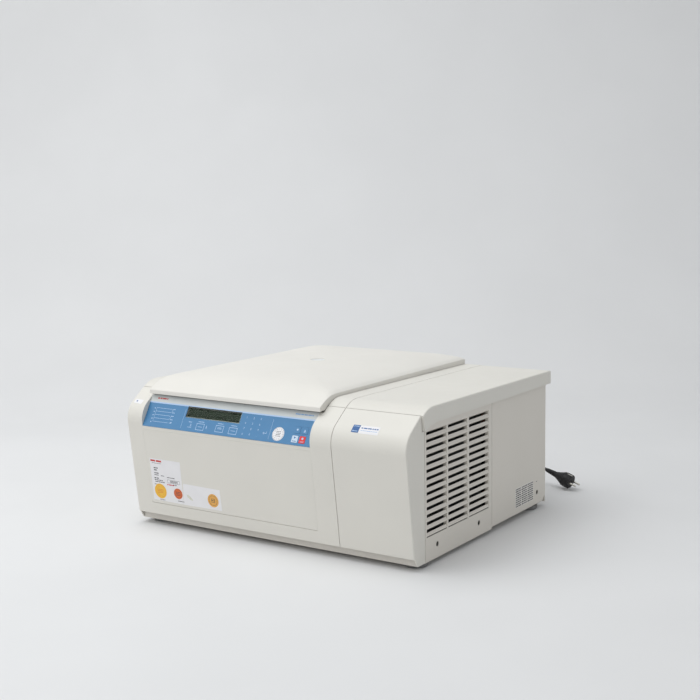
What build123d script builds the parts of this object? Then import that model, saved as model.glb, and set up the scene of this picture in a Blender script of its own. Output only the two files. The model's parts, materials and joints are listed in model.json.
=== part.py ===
from build123d import *
import math
import os

# Refrigerated laboratory bench centrifuge with a swing-out rotor.
# Frame: origin on the bench under the middle of the casing, +X to the right seen from the front,
# +Y to the rear, +Z up. Millimetres. The casing's heights below are counted from a level BENCH_Z under
# the bench, and each finished part is lowered by that much when it is written out.

# ---- driving dimensions: casing ----
LEFT_X = -370.0            # left face of the casing
SEAM_X = 187.5             # seam between the chamber section and the refrigeration section
SIDE_X = 364.5             # right side face
COVER_X = 370.0            # the right top cover stands this far out
REAR_Y = 305.5             # outer face of the rear panel
OVERHANG_Y = 322.0         # rear edge of deck, cover and lid
GAP = 1.3                  # seam between two covers
WALL = 3.0                 # moulded covers
SHEET = 2.5                # folded sheet panels
BENCH_Z = 16.0             # soles of the feet
PAN_BOTTOM = 26.0
PAN_FLOOR = PAN_BOTTOM + 2
PANEL_BOTTOM = 43.5        # lower edge of the moulded front
FRONT_FOOT_Y = -296.06
BROW_Y, BROW_Z = -326.2, 284.5      # where the two straight runs of the front profile would meet
BROW_RADIUS = 50.0
SEAM_Y, SEAM_Z = -267.0, 327.5      # upper edge of the moulded front
CHEEK_SEAM_Y, CHEEK_SEAM_Z = -261.9, 295.0
CHEEK_REAR_Y = -254.8
TOP_Z, TOP_REAR_Z = 342.0, 337.0    # top of deck and cover, at the front and at the rear
TOP_TURN_Y = -247.0        # where the front slope would meet the flat top
TOP_RADIUS = 68.0
SKIRT_Z = 307.0            # lower edge of the side skirts
REAR_TOP = 318.0           # upper edge of the panels, behind the skirts
EDGE_RADIUS = 3.0

# ---- control panel: a flat recess in the front ----
PANEL_LEFT, PANEL_RIGHT = -324.85, 135.15
PANEL_MID_X = (PANEL_LEFT + PANEL_RIGHT) / 2
PANEL_LOW = Vector(0, -321.45, 250.0)
PANEL_HIGH = Vector(0, -283.45, 316.0)
PANEL_LENGTH = (PANEL_HIGH - PANEL_LOW).length
PANEL_UP = (PANEL_HIGH - PANEL_LOW).normalized()
PANEL_OUT = Vector(0, -PANEL_UP.Z, PANEL_UP.Y)
PANEL_PLANE = Plane(
    origin=(PANEL_MID_X, PANEL_LOW.Y, PANEL_LOW.Z), x_dir=(1, 0, 0), z_dir=PANEL_OUT
)
RECESS_FLOOR = 3.0         # wall behind the membrane
MEMBRANE = 1.2
WINDOW_X, WINDOW_S = -135.1, 44.25  # middle of the display window: across, and up the panel
WINDOW_WIDTH, WINDOW_HEIGHT = 150.5, 25.5
KEY_SIZE = 15.0
KEY_GAP = 0.3
KEYS = {
    "start_key": (92.65, 13.5),
    "stop_key": (111.65, 13.5),
    "pulse_key": (93.65, 33.5),
    "lid_key": (112.55, 33.5),
}

# ---- front insert ----
FRONT_RISE = Vector(0, BROW_Y - FRONT_FOOT_Y, BROW_Z - PANEL_BOTTOM).normalized()
FRONT_PLANE = Plane(
    origin=(PANEL_MID_X, FRONT_FOOT_Y, PANEL_BOTTOM),
    x_dir=(1, 0, 0),
    z_dir=(0, -FRONT_RISE.Z, FRONT_RISE.Y),
)
INSERT_LOW, INSERT_HIGH = 26.7, 200.5
INSERT_DEPTH = 1.6

# ---- lid ----
LID_LEFT, LID_RIGHT = -324.85, 142.15
LID_FRONT = -294.0
LID_SHELL = 3.0
LID_CLEAR = 1.65           # gap to the walls of its channel in the deck
LINER_Z = 330.0
HINGE_Y, HINGE_Z = 311.0, 338.0
HINGE_PIN_R, KNUCKLE_R = 5.0, 7.5
RUN = 0.05                 # radial running clearance
TRUNNION_RUN = 0.2         # the same where a bucket hangs
ARMS = (-240.0, 57.35)     # middles of the two hinge arms
ARM_WIDTH = 20.0
LID_SLOPE = [(-276, 339.5), (-252, 351), (-226, 359.5), (-150, 367), (30, 370), (200, 367.5), (300, 361)]
LID_CROWN = [(12, 354.5), (60, 362), (130, 367.5)]     # inwards from the side edge, height

# ---- chamber and rotor ----
AXIS_X, AXIS_Y = -91.25, 30.5
DECK_Z = 325.0             # floor of the lid's channel
BOWL_R, BOWL_WALL = 195.0, 1.5
BOWL_TOP, BOWL_BOTTOM = 322.0, 125.0
COIL_TUBE_R = 4.0
RING_INNER, RING_OUTER = 223.0, 231.0
PIVOT_Z, PIVOT_R = 235.0, 88.0      # bucket trunnions: height, distance from the rotor axis
BUCKET_R, BUCKET_WALL = 38.0, 3.0
BUCKET_DROP, BUCKET_RISE = 88.0, 20.0
TRUNNION_R = 5.0
SHAFT_R = 8.0
MOTOR_R = 60.0

# ---- refrigeration ----
FAN_AT = (298.0, -110.0, 172.0)
FAN_R = 84.0
POT_AT = (272.0, 190.0)
POT_R = 60.0
PIPE_R = 4.0

# ---- mains lead ----
CORD_R = 4.0
COIL_AT = (60.0, 420.0)
COIL_RINGS = (35.5, 56.5)           # centre line of the innermost and the outermost turn
GLAND_AT = (230.0, REAR_Y, 62.0)    # counted like the casing's heights; the rest lies on the bench
GLAND_LENGTH = 34.5
PLUG_FACE = Vector(358.9, 469.8, 19.7)
PLUG_DIR = Vector(0.949, -0.1, -0.3).normalized()
PLUG_LENGTH = 72.5

UP = (Align.CENTER, Align.CENTER, Align.MIN)
ON_BENCH = Location((0, 0, -BENCH_Z))


def yz(x):
    """Plane across the machine at x: local x is +Y, local y is +Z."""
    return Plane.YZ.offset(x)


def block(x0, x1, y0, y1, z0, z1, mode=Mode.ADD):
    """A plain box between two corners, in the part being built."""
    with Locations(((x0 + x1) / 2, (y0 + y1) / 2, (z0 + z1) / 2)):
        Box(x1 - x0, y1 - y0, z1 - z0, mode=mode)


def side_outline(x, points, turn, radius):
    """A closed outline across the machine at x, with one rounded turn."""
    with BuildSketch(yz(x)) as outline:
        with BuildLine():
            Polyline(*points, close=True)
        make_face()
        fillet(outline.vertices().sort_by_distance((*turn, 0))[0], radius)
    return outline.sketch


def front_face(x):
    """Outline of the moulded front, up to its seam with the top covers."""
    points = [
        (FRONT_FOOT_Y, PANEL_BOTTOM),
        (BROW_Y, BROW_Z),
        (SEAM_Y, SEAM_Z),
        (CHEEK_SEAM_Y, CHEEK_SEAM_Z),
        (CHEEK_REAR_Y, CHEEK_SEAM_Z),
        (CHEEK_REAR_Y, PANEL_BOTTOM),
    ]
    return side_outline(x, points, (BROW_Y, BROW_Z), BROW_RADIUS)


def front_void(x):
    """The space behind the moulded front's wall, open to the rear and below."""
    inner_brow = (BROW_Y + 3.84, BROW_Z - 0.92)
    points = [
        (FRONT_FOOT_Y + 4.28, PANEL_BOTTOM - 10),
        inner_brow,
        (SEAM_Y + 3.6, SEAM_Z - 1.1),
        (SEAM_Y + 3.6, SEAM_Z + 10),
        (CHEEK_REAR_Y + 10, SEAM_Z + 10),
        (CHEEK_REAR_Y + 10, PANEL_BOTTOM - 10),
    ]
    return side_outline(x, points, inner_brow, BROW_RADIUS - WALL)


def flank(x):
    """The lower end of a cheek's side wall, beside the pan."""
    with BuildSketch(yz(x)) as outline:
        with BuildLine():
            Polyline(
                (FRONT_FOOT_Y + EDGE_RADIUS, PANEL_BOTTOM),
                (-282.5, PAN_BOTTOM + 0.5),
                (CHEEK_REAR_Y, PAN_BOTTOM + 0.5),
                (CHEEK_REAR_Y, PANEL_BOTTOM),
                close=True,
            )
        make_face()
    return outline.sketch


def top_face(x):
    """Outline of deck and right top cover: front slope, flat top, rear edge and side skirt."""
    points = [
        (SEAM_Y + GAP, SEAM_Z + GAP / 2),
        (TOP_TURN_Y, TOP_Z),
        (OVERHANG_Y, TOP_REAR_Z),
        (OVERHANG_Y, SKIRT_Z),
        (-212.9, SKIRT_Z),
        (-236.8, 303.8),
        (CHEEK_SEAM_Y + GAP, CHEEK_SEAM_Z + GAP),
    ]
    return side_outline(x, points, (TOP_TURN_Y, TOP_Z), TOP_RADIUS)


def top_void(x, top=TOP_Z - WALL, rear_top=TOP_REAR_Z - WALL):
    """The space under deck and cover, open below."""
    turn = (TOP_TURN_Y + 1.0, top)
    points = [
        (SEAM_Y + 5.6, SEAM_Z - 1.5),
        turn,
        (OVERHANG_Y - WALL, rear_top),
        (OVERHANG_Y - WALL, SKIRT_Z - 20),
        (SEAM_Y + 7.2, SKIRT_Z - 20),
    ]
    return side_outline(x, points, turn, 50)


def lid_body(inset, floor):
    """The crowned lid: its long section and its cross section run through each other."""
    rear = OVERHANG_Y - inset
    front = LID_FRONT + inset * 1.2
    with BuildPart() as crowned:
        with BuildSketch(yz(LID_LEFT + inset)):
            with BuildLine():
                start = (front, 328.5 - inset)
                finish = (rear, 354 - inset)
                Spline(start, *[(y, z - inset) for y, z in LID_SLOPE], finish)
                Polyline(
                    finish, (rear, floor + 4), (-267, floor), (-271, 320.5), (-288, 320.5),
                    (-290, 319.5), (front, 319.5), start,
                )
            make_face()
        extrude(amount=LID_RIGHT - LID_LEFT - 2 * inset)
        with BuildSketch(Plane.XZ.offset(-OVERHANG_Y - 1)):
            with BuildLine():
                left, right = LID_LEFT + inset, LID_RIGHT - inset
                rise = [(left + d, z - inset) for d, z in LID_CROWN]
                fall = [(right - d, z - inset) for d, z in reversed(LID_CROWN)]
                top = ((left + right) / 2, 370 - inset)
                low_left, low_right = (left, 349 - inset), (right, 349 - inset)
                Spline(low_left, *rise, top, *fall, low_right)
                Polyline(low_right, (right, 300), (left, 300), low_left)
            make_face()
        extrude(amount=OVERHANG_Y - LID_FRONT + 2, mode=Mode.INTERSECT)
    return crowned.part


os.makedirs("parts", exist_ok=True)

# ================= base =================
PAN_X = 358.0
PAN_FRONT, PAN_REAR = -282.0, 302.6
PAN_MID = (PAN_FRONT + PAN_REAR) / 2
PAN_TOP = PANEL_BOTTOM - 1
NOSE_LEFT, NOSE_RIGHT, NOSE_REAR = -366.0, 361.0, -256.0      # the pan's front runs on under the cheeks
with BuildPart() as base_pan:
    with BuildSketch(Plane.XY.offset(PAN_BOTTOM)):
        with Locations((0, PAN_MID)):
            RectangleRounded(2 * PAN_X, PAN_REAR - PAN_FRONT, 6)
    extrude(amount=PAN_TOP - PAN_BOTTOM)
    block(NOSE_LEFT, NOSE_RIGHT, PAN_FRONT, NOSE_REAR, PAN_BOTTOM, PAN_TOP)
    with BuildSketch(Plane.XY.offset(PAN_FLOOR)):
        with Locations((0, PAN_MID)):
            RectangleRounded(2 * PAN_X - 4, PAN_REAR - PAN_FRONT - 4, 4)
    extrude(amount=PANEL_BOTTOM, mode=Mode.SUBTRACT)
    block(
        NOSE_LEFT + 2, NOSE_RIGHT - 2, PAN_FRONT + 2, NOSE_REAR - 2, PAN_FLOOR, PANEL_BOTTOM,
        mode=Mode.SUBTRACT,
    )
    with BuildSketch(Plane.XY.offset(PAN_BOTTOM)):
        with Locations((230, -110)):
            with GridLocations(16, 0, 5, 1):
                SlotOverall(150, 7, rotation=90)
    extrude(amount=2, mode=Mode.SUBTRACT)
base_pan.part.label = "base_pan"
export_step(base_pan.part.moved(ON_BENCH), "parts/base_pan.step")

FOOT_R = 25.0
with BuildPart() as rubber_feet:
    with Locations((-337, -244, BENCH_Z), (337, -244, BENCH_Z), (-337, 262, BENCH_Z), (337, 262, BENCH_Z)):
        Cylinder(FOOT_R, PAN_BOTTOM - BENCH_Z, align=UP)
    chamfer(rubber_feet.edges().filter_by(GeomType.CIRCLE).group_by(Axis.Z)[0], 2)
rubber_feet.part.label = "rubber_feet"
export_step(rubber_feet.part.moved(ON_BENCH), "parts/rubber_feet.step")

# ================= moulded front =================
FASCIA_WIDTH = SEAM_X - GAP / 2 - LEFT_X
CHANNEL_LEFT, CHANNEL_RIGHT = LID_LEFT - LID_CLEAR, LID_RIGHT + LID_CLEAR
LEDGE_REAR = SEAM_Y - 1.0
BACK_LOW = PANEL_LOW - PANEL_OUT * RECESS_FLOOR
BACK_HIGH = PANEL_HIGH - PANEL_OUT * RECESS_FLOOR
with BuildPart() as front_fascia:
    extrude(front_face(LEFT_X), amount=FASCIA_WIDTH)
    left_rim = front_fascia.faces().sort_by(Axis.X)[0].edges()
    fillet(
        [e for e in left_rim if e.center().Z > PANEL_BOTTOM + 1 and e.center().Y < SEAM_Y],
        EDGE_RADIUS,
    )
    extrude(front_void(LEFT_X + WALL), amount=CHANNEL_LEFT - WALL - LEFT_X - WALL, mode=Mode.SUBTRACT)
    extrude(
        front_void(CHANNEL_RIGHT + WALL),
        amount=SEAM_X - GAP / 2 - WALL - CHANNEL_RIGHT - WALL,
        mode=Mode.SUBTRACT,
    )
    with BuildPart(mode=Mode.PRIVATE) as middle_void:
        extrude(front_void(CHANNEL_LEFT - WALL - 0.01), amount=CHANNEL_RIGHT - CHANNEL_LEFT + 2 * WALL + 0.02)
        with BuildSketch(yz(CHANNEL_LEFT - WALL - 0.02)):
            with BuildLine():
                Polyline(
                    (BACK_LOW.Y, BACK_LOW.Z),
                    (BACK_HIGH.Y, BACK_HIGH.Z),
                    (LEDGE_REAR, BACK_HIGH.Z),
                    (LEDGE_REAR, 400),
                    (-400, 400),
                    (-400, BACK_LOW.Z),
                    close=True,
                )
            make_face()
        extrude(amount=CHANNEL_RIGHT - CHANNEL_LEFT + 2 * WALL + 0.04, mode=Mode.SUBTRACT)
    add(middle_void.part, mode=Mode.SUBTRACT)
    with BuildSketch(yz(PANEL_LEFT)):
        with BuildLine():
            Polyline(
                (PANEL_LOW.Y, PANEL_LOW.Z),
                (PANEL_HIGH.Y, PANEL_HIGH.Z),
                (PANEL_HIGH.Y, 400),
                (-400, 400),
                (-400, PANEL_LOW.Z),
                close=True,
            )
        make_face()
    extrude(amount=PANEL_RIGHT - PANEL_LEFT, mode=Mode.SUBTRACT)
    block(CHANNEL_LEFT, CHANNEL_RIGHT, -400, -240, PANEL_HIGH.Z, 400, mode=Mode.SUBTRACT)
    with BuildSketch(PANEL_PLANE):
        with Locations((WINDOW_X - PANEL_MID_X, WINDOW_S)):
            Rectangle(WINDOW_WIDTH - 4, WINDOW_HEIGHT - 4)
        for key_x, key_s in KEYS.values():
            with Locations((key_x - PANEL_MID_X, key_s)):
                Rectangle(KEY_SIZE + 2 * KEY_GAP, KEY_SIZE + 2 * KEY_GAP)
    extrude(amount=-RECESS_FLOOR - 3, mode=Mode.SUBTRACT)
    with BuildSketch(FRONT_PLANE):
        with Locations((0, (INSERT_LOW + INSERT_HIGH) / 2)):
            RectangleRounded(PANEL_RIGHT - PANEL_LEFT, INSERT_HIGH - INSERT_LOW, 4)
    extrude(amount=-INSERT_DEPTH, mode=Mode.SUBTRACT)
    extrude(flank(LEFT_X), amount=WALL)
front_fascia.part.label = "front_fascia"
export_step(front_fascia.part.moved(ON_BENCH), "parts/front_fascia.step")

FINE_SEAM, LOWER_SEAM = 0.2, 1.1
INSERT_MID = (INSERT_LOW + LOWER_SEAM + INSERT_HIGH - FINE_SEAM) / 2
with BuildPart() as front_insert:
    with BuildSketch(FRONT_PLANE.offset(-INSERT_DEPTH)):
        with Locations((0, INSERT_MID)):
            RectangleRounded(
                PANEL_RIGHT - PANEL_LEFT - 2 * FINE_SEAM,
                INSERT_HIGH - INSERT_LOW - LOWER_SEAM - FINE_SEAM,
                3.8,
            )
    extrude(amount=INSERT_DEPTH)
front_insert.part.label = "front_insert"
export_step(front_insert.part.moved(ON_BENCH), "parts/front_insert.step")

with BuildPart() as right_front_cover:
    extrude(front_face(SEAM_X + GAP / 2), amount=SIDE_X - SEAM_X - GAP / 2)
    right_rim = right_front_cover.faces().sort_by(Axis.X)[-1].edges()
    fillet(
        [e for e in right_rim if e.center().Z > PANEL_BOTTOM + 1 and e.center().Y < SEAM_Y],
        EDGE_RADIUS,
    )
    extrude(
        front_void(SEAM_X + GAP / 2 + WALL), amount=SIDE_X - SEAM_X - GAP / 2 - 2 * WALL, mode=Mode.SUBTRACT
    )
    extrude(flank(SIDE_X - WALL), amount=WALL)
right_front_cover.part.label = "right_front_cover"
export_step(right_front_cover.part.moved(ON_BENCH), "parts/right_front_cover.step")

# ================= control panel =================
with BuildPart() as keypad_membrane:
    with BuildSketch(PANEL_PLANE):
        with Locations((0, PANEL_LENGTH / 2)):
            Rectangle(PANEL_RIGHT - PANEL_LEFT - 0.6, PANEL_LENGTH - 1)
        with Locations((WINDOW_X - PANEL_MID_X, WINDOW_S)):
            Rectangle(WINDOW_WIDTH, WINDOW_HEIGHT, mode=Mode.SUBTRACT)
        for key_x, key_s in KEYS.values():
            with Locations((key_x - PANEL_MID_X, key_s)):
                Rectangle(KEY_SIZE + 2 * KEY_GAP, KEY_SIZE + 2 * KEY_GAP, mode=Mode.SUBTRACT)
    extrude(amount=MEMBRANE)
keypad_membrane.part.label = "keypad_membrane"
export_step(keypad_membrane.part.moved(ON_BENCH), "parts/keypad_membrane.step")

KEY_PROUD, KEY_DEPTH = 0.4, 2.0
for key_name, (key_x, key_s) in KEYS.items():
    with BuildPart() as key_cap:
        with BuildSketch(PANEL_PLANE.offset(-KEY_DEPTH)):
            with Locations((key_x - PANEL_MID_X, key_s)):
                RectangleRounded(KEY_SIZE, KEY_SIZE, 1.5)
        extrude(amount=KEY_DEPTH + MEMBRANE + KEY_PROUD)
    key_cap.part.label = key_name
    export_step(key_cap.part.moved(ON_BENCH), f"parts/{key_name}.step")

with BuildPart() as display_window:
    with BuildSketch(PANEL_PLANE):
        with Locations((WINDOW_X - PANEL_MID_X, WINDOW_S)):
            Rectangle(WINDOW_WIDTH - 0.4, WINDOW_HEIGHT - 0.4)
    extrude(amount=1.0)
display_window.part.label = "display_window"
export_step(display_window.part.moved(ON_BENCH), "parts/display_window.step")

with BuildPart() as lcd_module:
    with BuildSketch(PANEL_PLANE.offset(-RECESS_FLOOR)):
        with Locations((WINDOW_X - PANEL_MID_X, WINDOW_S)):
            Rectangle(WINDOW_WIDTH + 10, WINDOW_HEIGHT + 10)
    extrude(amount=-7)
lcd_module.part.label = "lcd_module"
export_step(lcd_module.part.moved(ON_BENCH), "parts/lcd_module.step")

BOARD_DEPTH = 14.0
with BuildPart() as display_board:
    with BuildSketch(PANEL_PLANE.offset(-BOARD_DEPTH)):
        with Locations((0, PANEL_LENGTH / 2 - 2)):
            Rectangle(430, 62)
    extrude(amount=-1.6)
    with BuildSketch(PANEL_PLANE.offset(-BOARD_DEPTH)):
        with Locations((WINDOW_X - PANEL_MID_X, WINDOW_S)):
            Rectangle(140, 20)
        for key_x, key_s in KEYS.values():
            with Locations((key_x - PANEL_MID_X, key_s)):
                Circle(3)
    extrude(amount=4)
display_board.part.label = "display_board"
export_step(display_board.part.moved(ON_BENCH), "parts/display_board.step")

# ================= deck and top cover =================
with BuildPart() as chamber_deck:
    extrude(top_face(LEFT_X), amount=FASCIA_WIDTH)
    left_rim = chamber_deck.faces().sort_by(Axis.X)[0].edges()
    fillet([e for e in left_rim if e.center().Z > DECK_Z], EDGE_RADIUS)
    extrude(top_void(LEFT_X + WALL), amount=CHANNEL_LEFT - LEFT_X - 2 * WALL, mode=Mode.SUBTRACT)
    extrude(
        top_void(CHANNEL_RIGHT + WALL),
        amount=SEAM_X - GAP / 2 - CHANNEL_RIGHT - 2 * WALL,
        mode=Mode.SUBTRACT,
    )
    block(CHANNEL_LEFT, CHANNEL_RIGHT, -300, 330, DECK_Z, 400, mode=Mode.SUBTRACT)
    block(
        LEFT_X + WALL, SEAM_X - GAP / 2 - WALL, SEAM_Y + 8.2, OVERHANG_Y - WALL,
        280, DECK_Z - WALL, mode=Mode.SUBTRACT,
    )
    block(CHANNEL_LEFT, CHANNEL_RIGHT, 296, 330, 280, 400, mode=Mode.SUBTRACT)
    block(LEFT_X + WALL, SEAM_X - GAP / 2 - WALL, 302, REAR_Y + 1, 280, REAR_TOP + 1, mode=Mode.SUBTRACT)
    with BuildSketch(Plane.XY.offset(DECK_Z - WALL - 1)):
        with Locations((AXIS_X, AXIS_Y)):
            Circle(BOWL_R + 2)
    extrude(amount=10, mode=Mode.SUBTRACT)
    for hook_x in (-231.0, 49.0):
        block(hook_x - 4, hook_x + 4, -251, -229, DECK_Z - 5, DECK_Z + 1, mode=Mode.SUBTRACT)
chamber_deck.part.label = "chamber_deck"
export_step(chamber_deck.part.moved(ON_BENCH), "parts/chamber_deck.step")

with BuildPart() as right_top_cover:
    extrude(top_face(SEAM_X + GAP / 2), amount=COVER_X - SEAM_X - GAP / 2)
    right_rim = right_top_cover.faces().sort_by(Axis.X)[-1].edges()
    rear_rim = right_top_cover.edges().filter_by(Axis.X).sort_by_distance((278, OVERHANG_Y, TOP_REAR_Z))[0]
    fillet([e for e in right_rim if e.center().Z > DECK_Z] + [rear_rim], EDGE_RADIUS)
    extrude(
        top_void(SEAM_X + GAP / 2 + WALL), amount=COVER_X - SEAM_X - GAP / 2 - 2 * WALL, mode=Mode.SUBTRACT
    )
right_top_cover.part.label = "right_top_cover"
export_step(right_top_cover.part.moved(ON_BENCH), "parts/right_top_cover.step")

# ================= side and rear panels =================
PANEL_FOOT = PAN_BOTTOM
SPLIT_Y = 33.5             # seam between grille panel and rear side panel
COLUMNS = ((-247.2, -165.2), (-159.7, -77.3), (-70.3, 18.1))
ROWS, ROW_PITCH, ROW_LOW = 14, 15.3, 91.2
GROOVE_Z = 77.8
LOUVRE_DEPTH = 9.0
SCREW_R, SIDE_SCREW_R = 4.2, 5.5
SIDE_SCREWS = ((-205.0, 54.0), (-26.4, 54.0), (262.0, 57.5))
with BuildPart() as side_grille:
    block(SIDE_X - SHEET, SIDE_X, CHEEK_REAR_Y + GAP, SPLIT_Y - GAP / 2, PANEL_FOOT, REAR_TOP)
    for start_y, end_y in COLUMNS:
        block(
            SIDE_X - LOUVRE_DEPTH, SIDE_X - SHEET, start_y - 3, end_y + 3,
            ROW_LOW - 13, ROW_LOW + (ROWS - 1) * ROW_PITCH + 12,
        )
    for start_y, end_y in COLUMNS:
        with BuildSketch(Plane.XZ.offset(-start_y)):
            for row in range(ROWS):
                z = ROW_LOW + row * ROW_PITCH
                with BuildLine():
                    Polyline(
                        (SIDE_X + 1, z + 3.0),
                        (SIDE_X - LOUVRE_DEPTH - 1, z - 3.4),
                        (SIDE_X - LOUVRE_DEPTH - 1, z - 10),
                        (SIDE_X - 2.5, z - 5.6),
                        (SIDE_X, z - 11.4),
                        (SIDE_X + 1, z - 11.4),
                        close=True,
                    )
                make_face()
        extrude(amount=start_y - end_y, mode=Mode.SUBTRACT)
        block(SIDE_X - 1.8, SIDE_X + 1, start_y, end_y, GROOVE_Z - 1.2, GROOVE_Z + 1.2, mode=Mode.SUBTRACT)
    with BuildSketch(yz(SIDE_X - SHEET - 1)):
        with Locations(*SIDE_SCREWS[:2]):
            Circle(SIDE_SCREW_R)
    extrude(amount=SHEET + 2, mode=Mode.SUBTRACT)
side_grille.part.label = "side_grille"
export_step(side_grille.part.moved(ON_BENCH), "parts/side_grille.step")

CORNER_CUT = 12.0
with BuildPart() as right_side_panel:
    with BuildSketch(yz(SIDE_X - SHEET)):
        with BuildLine():
            Polyline(
                (SPLIT_Y + GAP / 2, PANEL_FOOT + 5),
                (SPLIT_Y + GAP / 2, REAR_TOP),
                (PAN_REAR, REAR_TOP),
                (PAN_REAR, PANEL_FOOT + 5 + CORNER_CUT),
                (PAN_REAR - CORNER_CUT, PANEL_FOOT + 5),
                close=True,
            )
        make_face()
        with Locations(SIDE_SCREWS[2]):
            Circle(SIDE_SCREW_R, mode=Mode.SUBTRACT)
    extrude(amount=SHEET)
right_side_panel.part.label = "right_side_panel"
export_step(right_side_panel.part.moved(ON_BENCH), "parts/right_side_panel.step")

with BuildPart() as left_side_panel:
    with BuildSketch(yz(LEFT_X)):
        with BuildLine():
            Polyline(
                (CHEEK_REAR_Y + GAP, PANEL_FOOT),
                (CHEEK_REAR_Y + GAP, 298.0),
                (-212.9, SKIRT_Z - GAP),
                (PAN_REAR, SKIRT_Z - GAP),
                (PAN_REAR, PANEL_FOOT + CORNER_CUT),
                (PAN_REAR - CORNER_CUT, PANEL_FOOT),
                close=True,
            )
        make_face()
        for row in range(9):
            with Locations((180, 80 + row * 14)):
                SlotOverall(150, 5, mode=Mode.SUBTRACT)
    extrude(amount=SHEET)
left_side_panel.part.label = "left_side_panel"
export_step(left_side_panel.part.moved(ON_BENCH), "parts/left_side_panel.step")

SWITCH_AT = (300.0, 120.0)
SWITCH_WIDTH, SWITCH_HEIGHT = 22.0, 30.0
REAR_SCREWS = ((-350, 45), (-350, 295), (-110, 45), (-110, 295), (160, 45), (160, 295), (345, 45), (345, 295))
with BuildPart() as rear_panel:
    with BuildSketch(Plane.XZ.offset(-REAR_Y)):
        with Locations(((LEFT_X + SIDE_X) / 2, (PANEL_FOOT + REAR_TOP) / 2)):
            Rectangle(SIDE_X - LEFT_X, REAR_TOP - PANEL_FOOT)
        for notch_x, notch_width in ((LEFT_X, 2 * WALL + 1), (SEAM_X, 2 * WALL + 3)):
            with Locations((notch_x, REAR_TOP)):
                Rectangle(notch_width, 2 * (REAR_TOP - SKIRT_Z + GAP), mode=Mode.SUBTRACT)
        for row in range(12):
            for column_x in (-240, -100, 40):
                with Locations((column_x, 120 + row * 13)):
                    SlotOverall(110, 5, mode=Mode.SUBTRACT)
        for row in range(10):
            with Locations((275, 180 + row * 11)):
                SlotOverall(130, 5, mode=Mode.SUBTRACT)
        with Locations(SWITCH_AT):
            Rectangle(SWITCH_WIDTH, SWITCH_HEIGHT, mode=Mode.SUBTRACT)
        with Locations((GLAND_AT[0], GLAND_AT[2])):
            Circle(8, mode=Mode.SUBTRACT)
        with Locations(*REAR_SCREWS):
            Circle(SCREW_R, mode=Mode.SUBTRACT)
    extrude(amount=SHEET)
rear_panel.part.label = "rear_panel"
export_step(rear_panel.part.moved(ON_BENCH), "parts/rear_panel.step")

with BuildPart() as panel_screws:
    for screw_y, screw_z in SIDE_SCREWS:
        with Locations((SIDE_X - 2.7, screw_y, screw_z)):
            Cylinder(SIDE_SCREW_R, 2.4, rotation=(0, 90, 0))
            with Locations((1.2, 0, 0)):
                Cylinder(1.8, 1.6, rotation=(0, 90, 0), mode=Mode.SUBTRACT)
    for screw_x, screw_z in REAR_SCREWS:
        with Locations((screw_x, REAR_Y - 0.6, screw_z)):
            Cylinder(SCREW_R, 3.4, rotation=(90, 0, 0))
            with Locations((0, 1.7, 0)):
                Cylinder(1.8, 1.6, rotation=(90, 0, 0), mode=Mode.SUBTRACT)
panel_screws.part.label = "panel_screws"
export_step(panel_screws.part.moved(ON_BENCH), "parts/panel_screws.step")

WALL_X = 183.0             # partition between rotor chamber and refrigeration
with BuildPart() as partition_wall:
    block(WALL_X - 1.5, WALL_X, -250, PAN_REAR - 2.4, PAN_FLOOR, DECK_Z - WALL - 1)
    for hole_y, hole_z in ((95, 90), (215, 235)):
        with Locations((WALL_X, hole_y, hole_z)):
            Cylinder(PIPE_R + 3, 6, rotation=(0, 90, 0), mode=Mode.SUBTRACT)
partition_wall.part.label = "partition_wall"
export_step(partition_wall.part.moved(ON_BENCH), "parts/partition_wall.step")

# ================= rotor chamber =================
ROTOR_PLANE = Plane(origin=(AXIS_X, AXIS_Y, 0), x_dir=(1, 0, 0), z_dir=(0, -1, 0))
ROTOR_AXIS = Axis((AXIS_X, AXIS_Y, 0), (0, 0, 1))
NECK_R, NECK_TOP = 19.0, 131.0
NECK_HOLE_R = 21.0
BEND = 12.0
with BuildPart() as chamber_bowl:
    with BuildSketch(ROTOR_PLANE) as bowl_section:
        with BuildLine():
            Polyline(
                (NECK_HOLE_R, BOWL_BOTTOM), (BOWL_R - BEND, BOWL_BOTTOM), (BOWL_R, BOWL_BOTTOM + BEND),
                (BOWL_R, BOWL_TOP), (BOWL_R + 20, BOWL_TOP), (BOWL_R + 20, BOWL_TOP - BOWL_WALL),
                (BOWL_R + BOWL_WALL, BOWL_TOP - BOWL_WALL), (BOWL_R + BOWL_WALL, BOWL_BOTTOM + BEND - 1),
                (BOWL_R - BEND + 1, BOWL_BOTTOM - BOWL_WALL), (NECK_HOLE_R, BOWL_BOTTOM - BOWL_WALL),
                close=True,
            )
        make_face()
    revolve(axis=ROTOR_AXIS)
chamber_bowl.part.label = "chamber_bowl"
export_step(chamber_bowl.part.moved(ON_BENCH), "parts/chamber_bowl.step")

COIL_R = BOWL_R + BOWL_WALL + COIL_TUBE_R + 0.2
INSULATION_INNER = COIL_R + COIL_TUBE_R + 0.3
with BuildPart() as chamber_insulation:
    with Locations((AXIS_X, AXIS_Y, BOWL_BOTTOM + 12)):
        Cylinder(RING_INNER - 0.3, BOWL_TOP - BOWL_BOTTOM - 14, align=UP)
        Cylinder(INSULATION_INNER, BOWL_TOP - BOWL_BOTTOM - 14, align=UP, mode=Mode.SUBTRACT)
chamber_insulation.part.label = "chamber_insulation"
export_step(chamber_insulation.part.moved(ON_BENCH), "parts/chamber_insulation.step")

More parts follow.
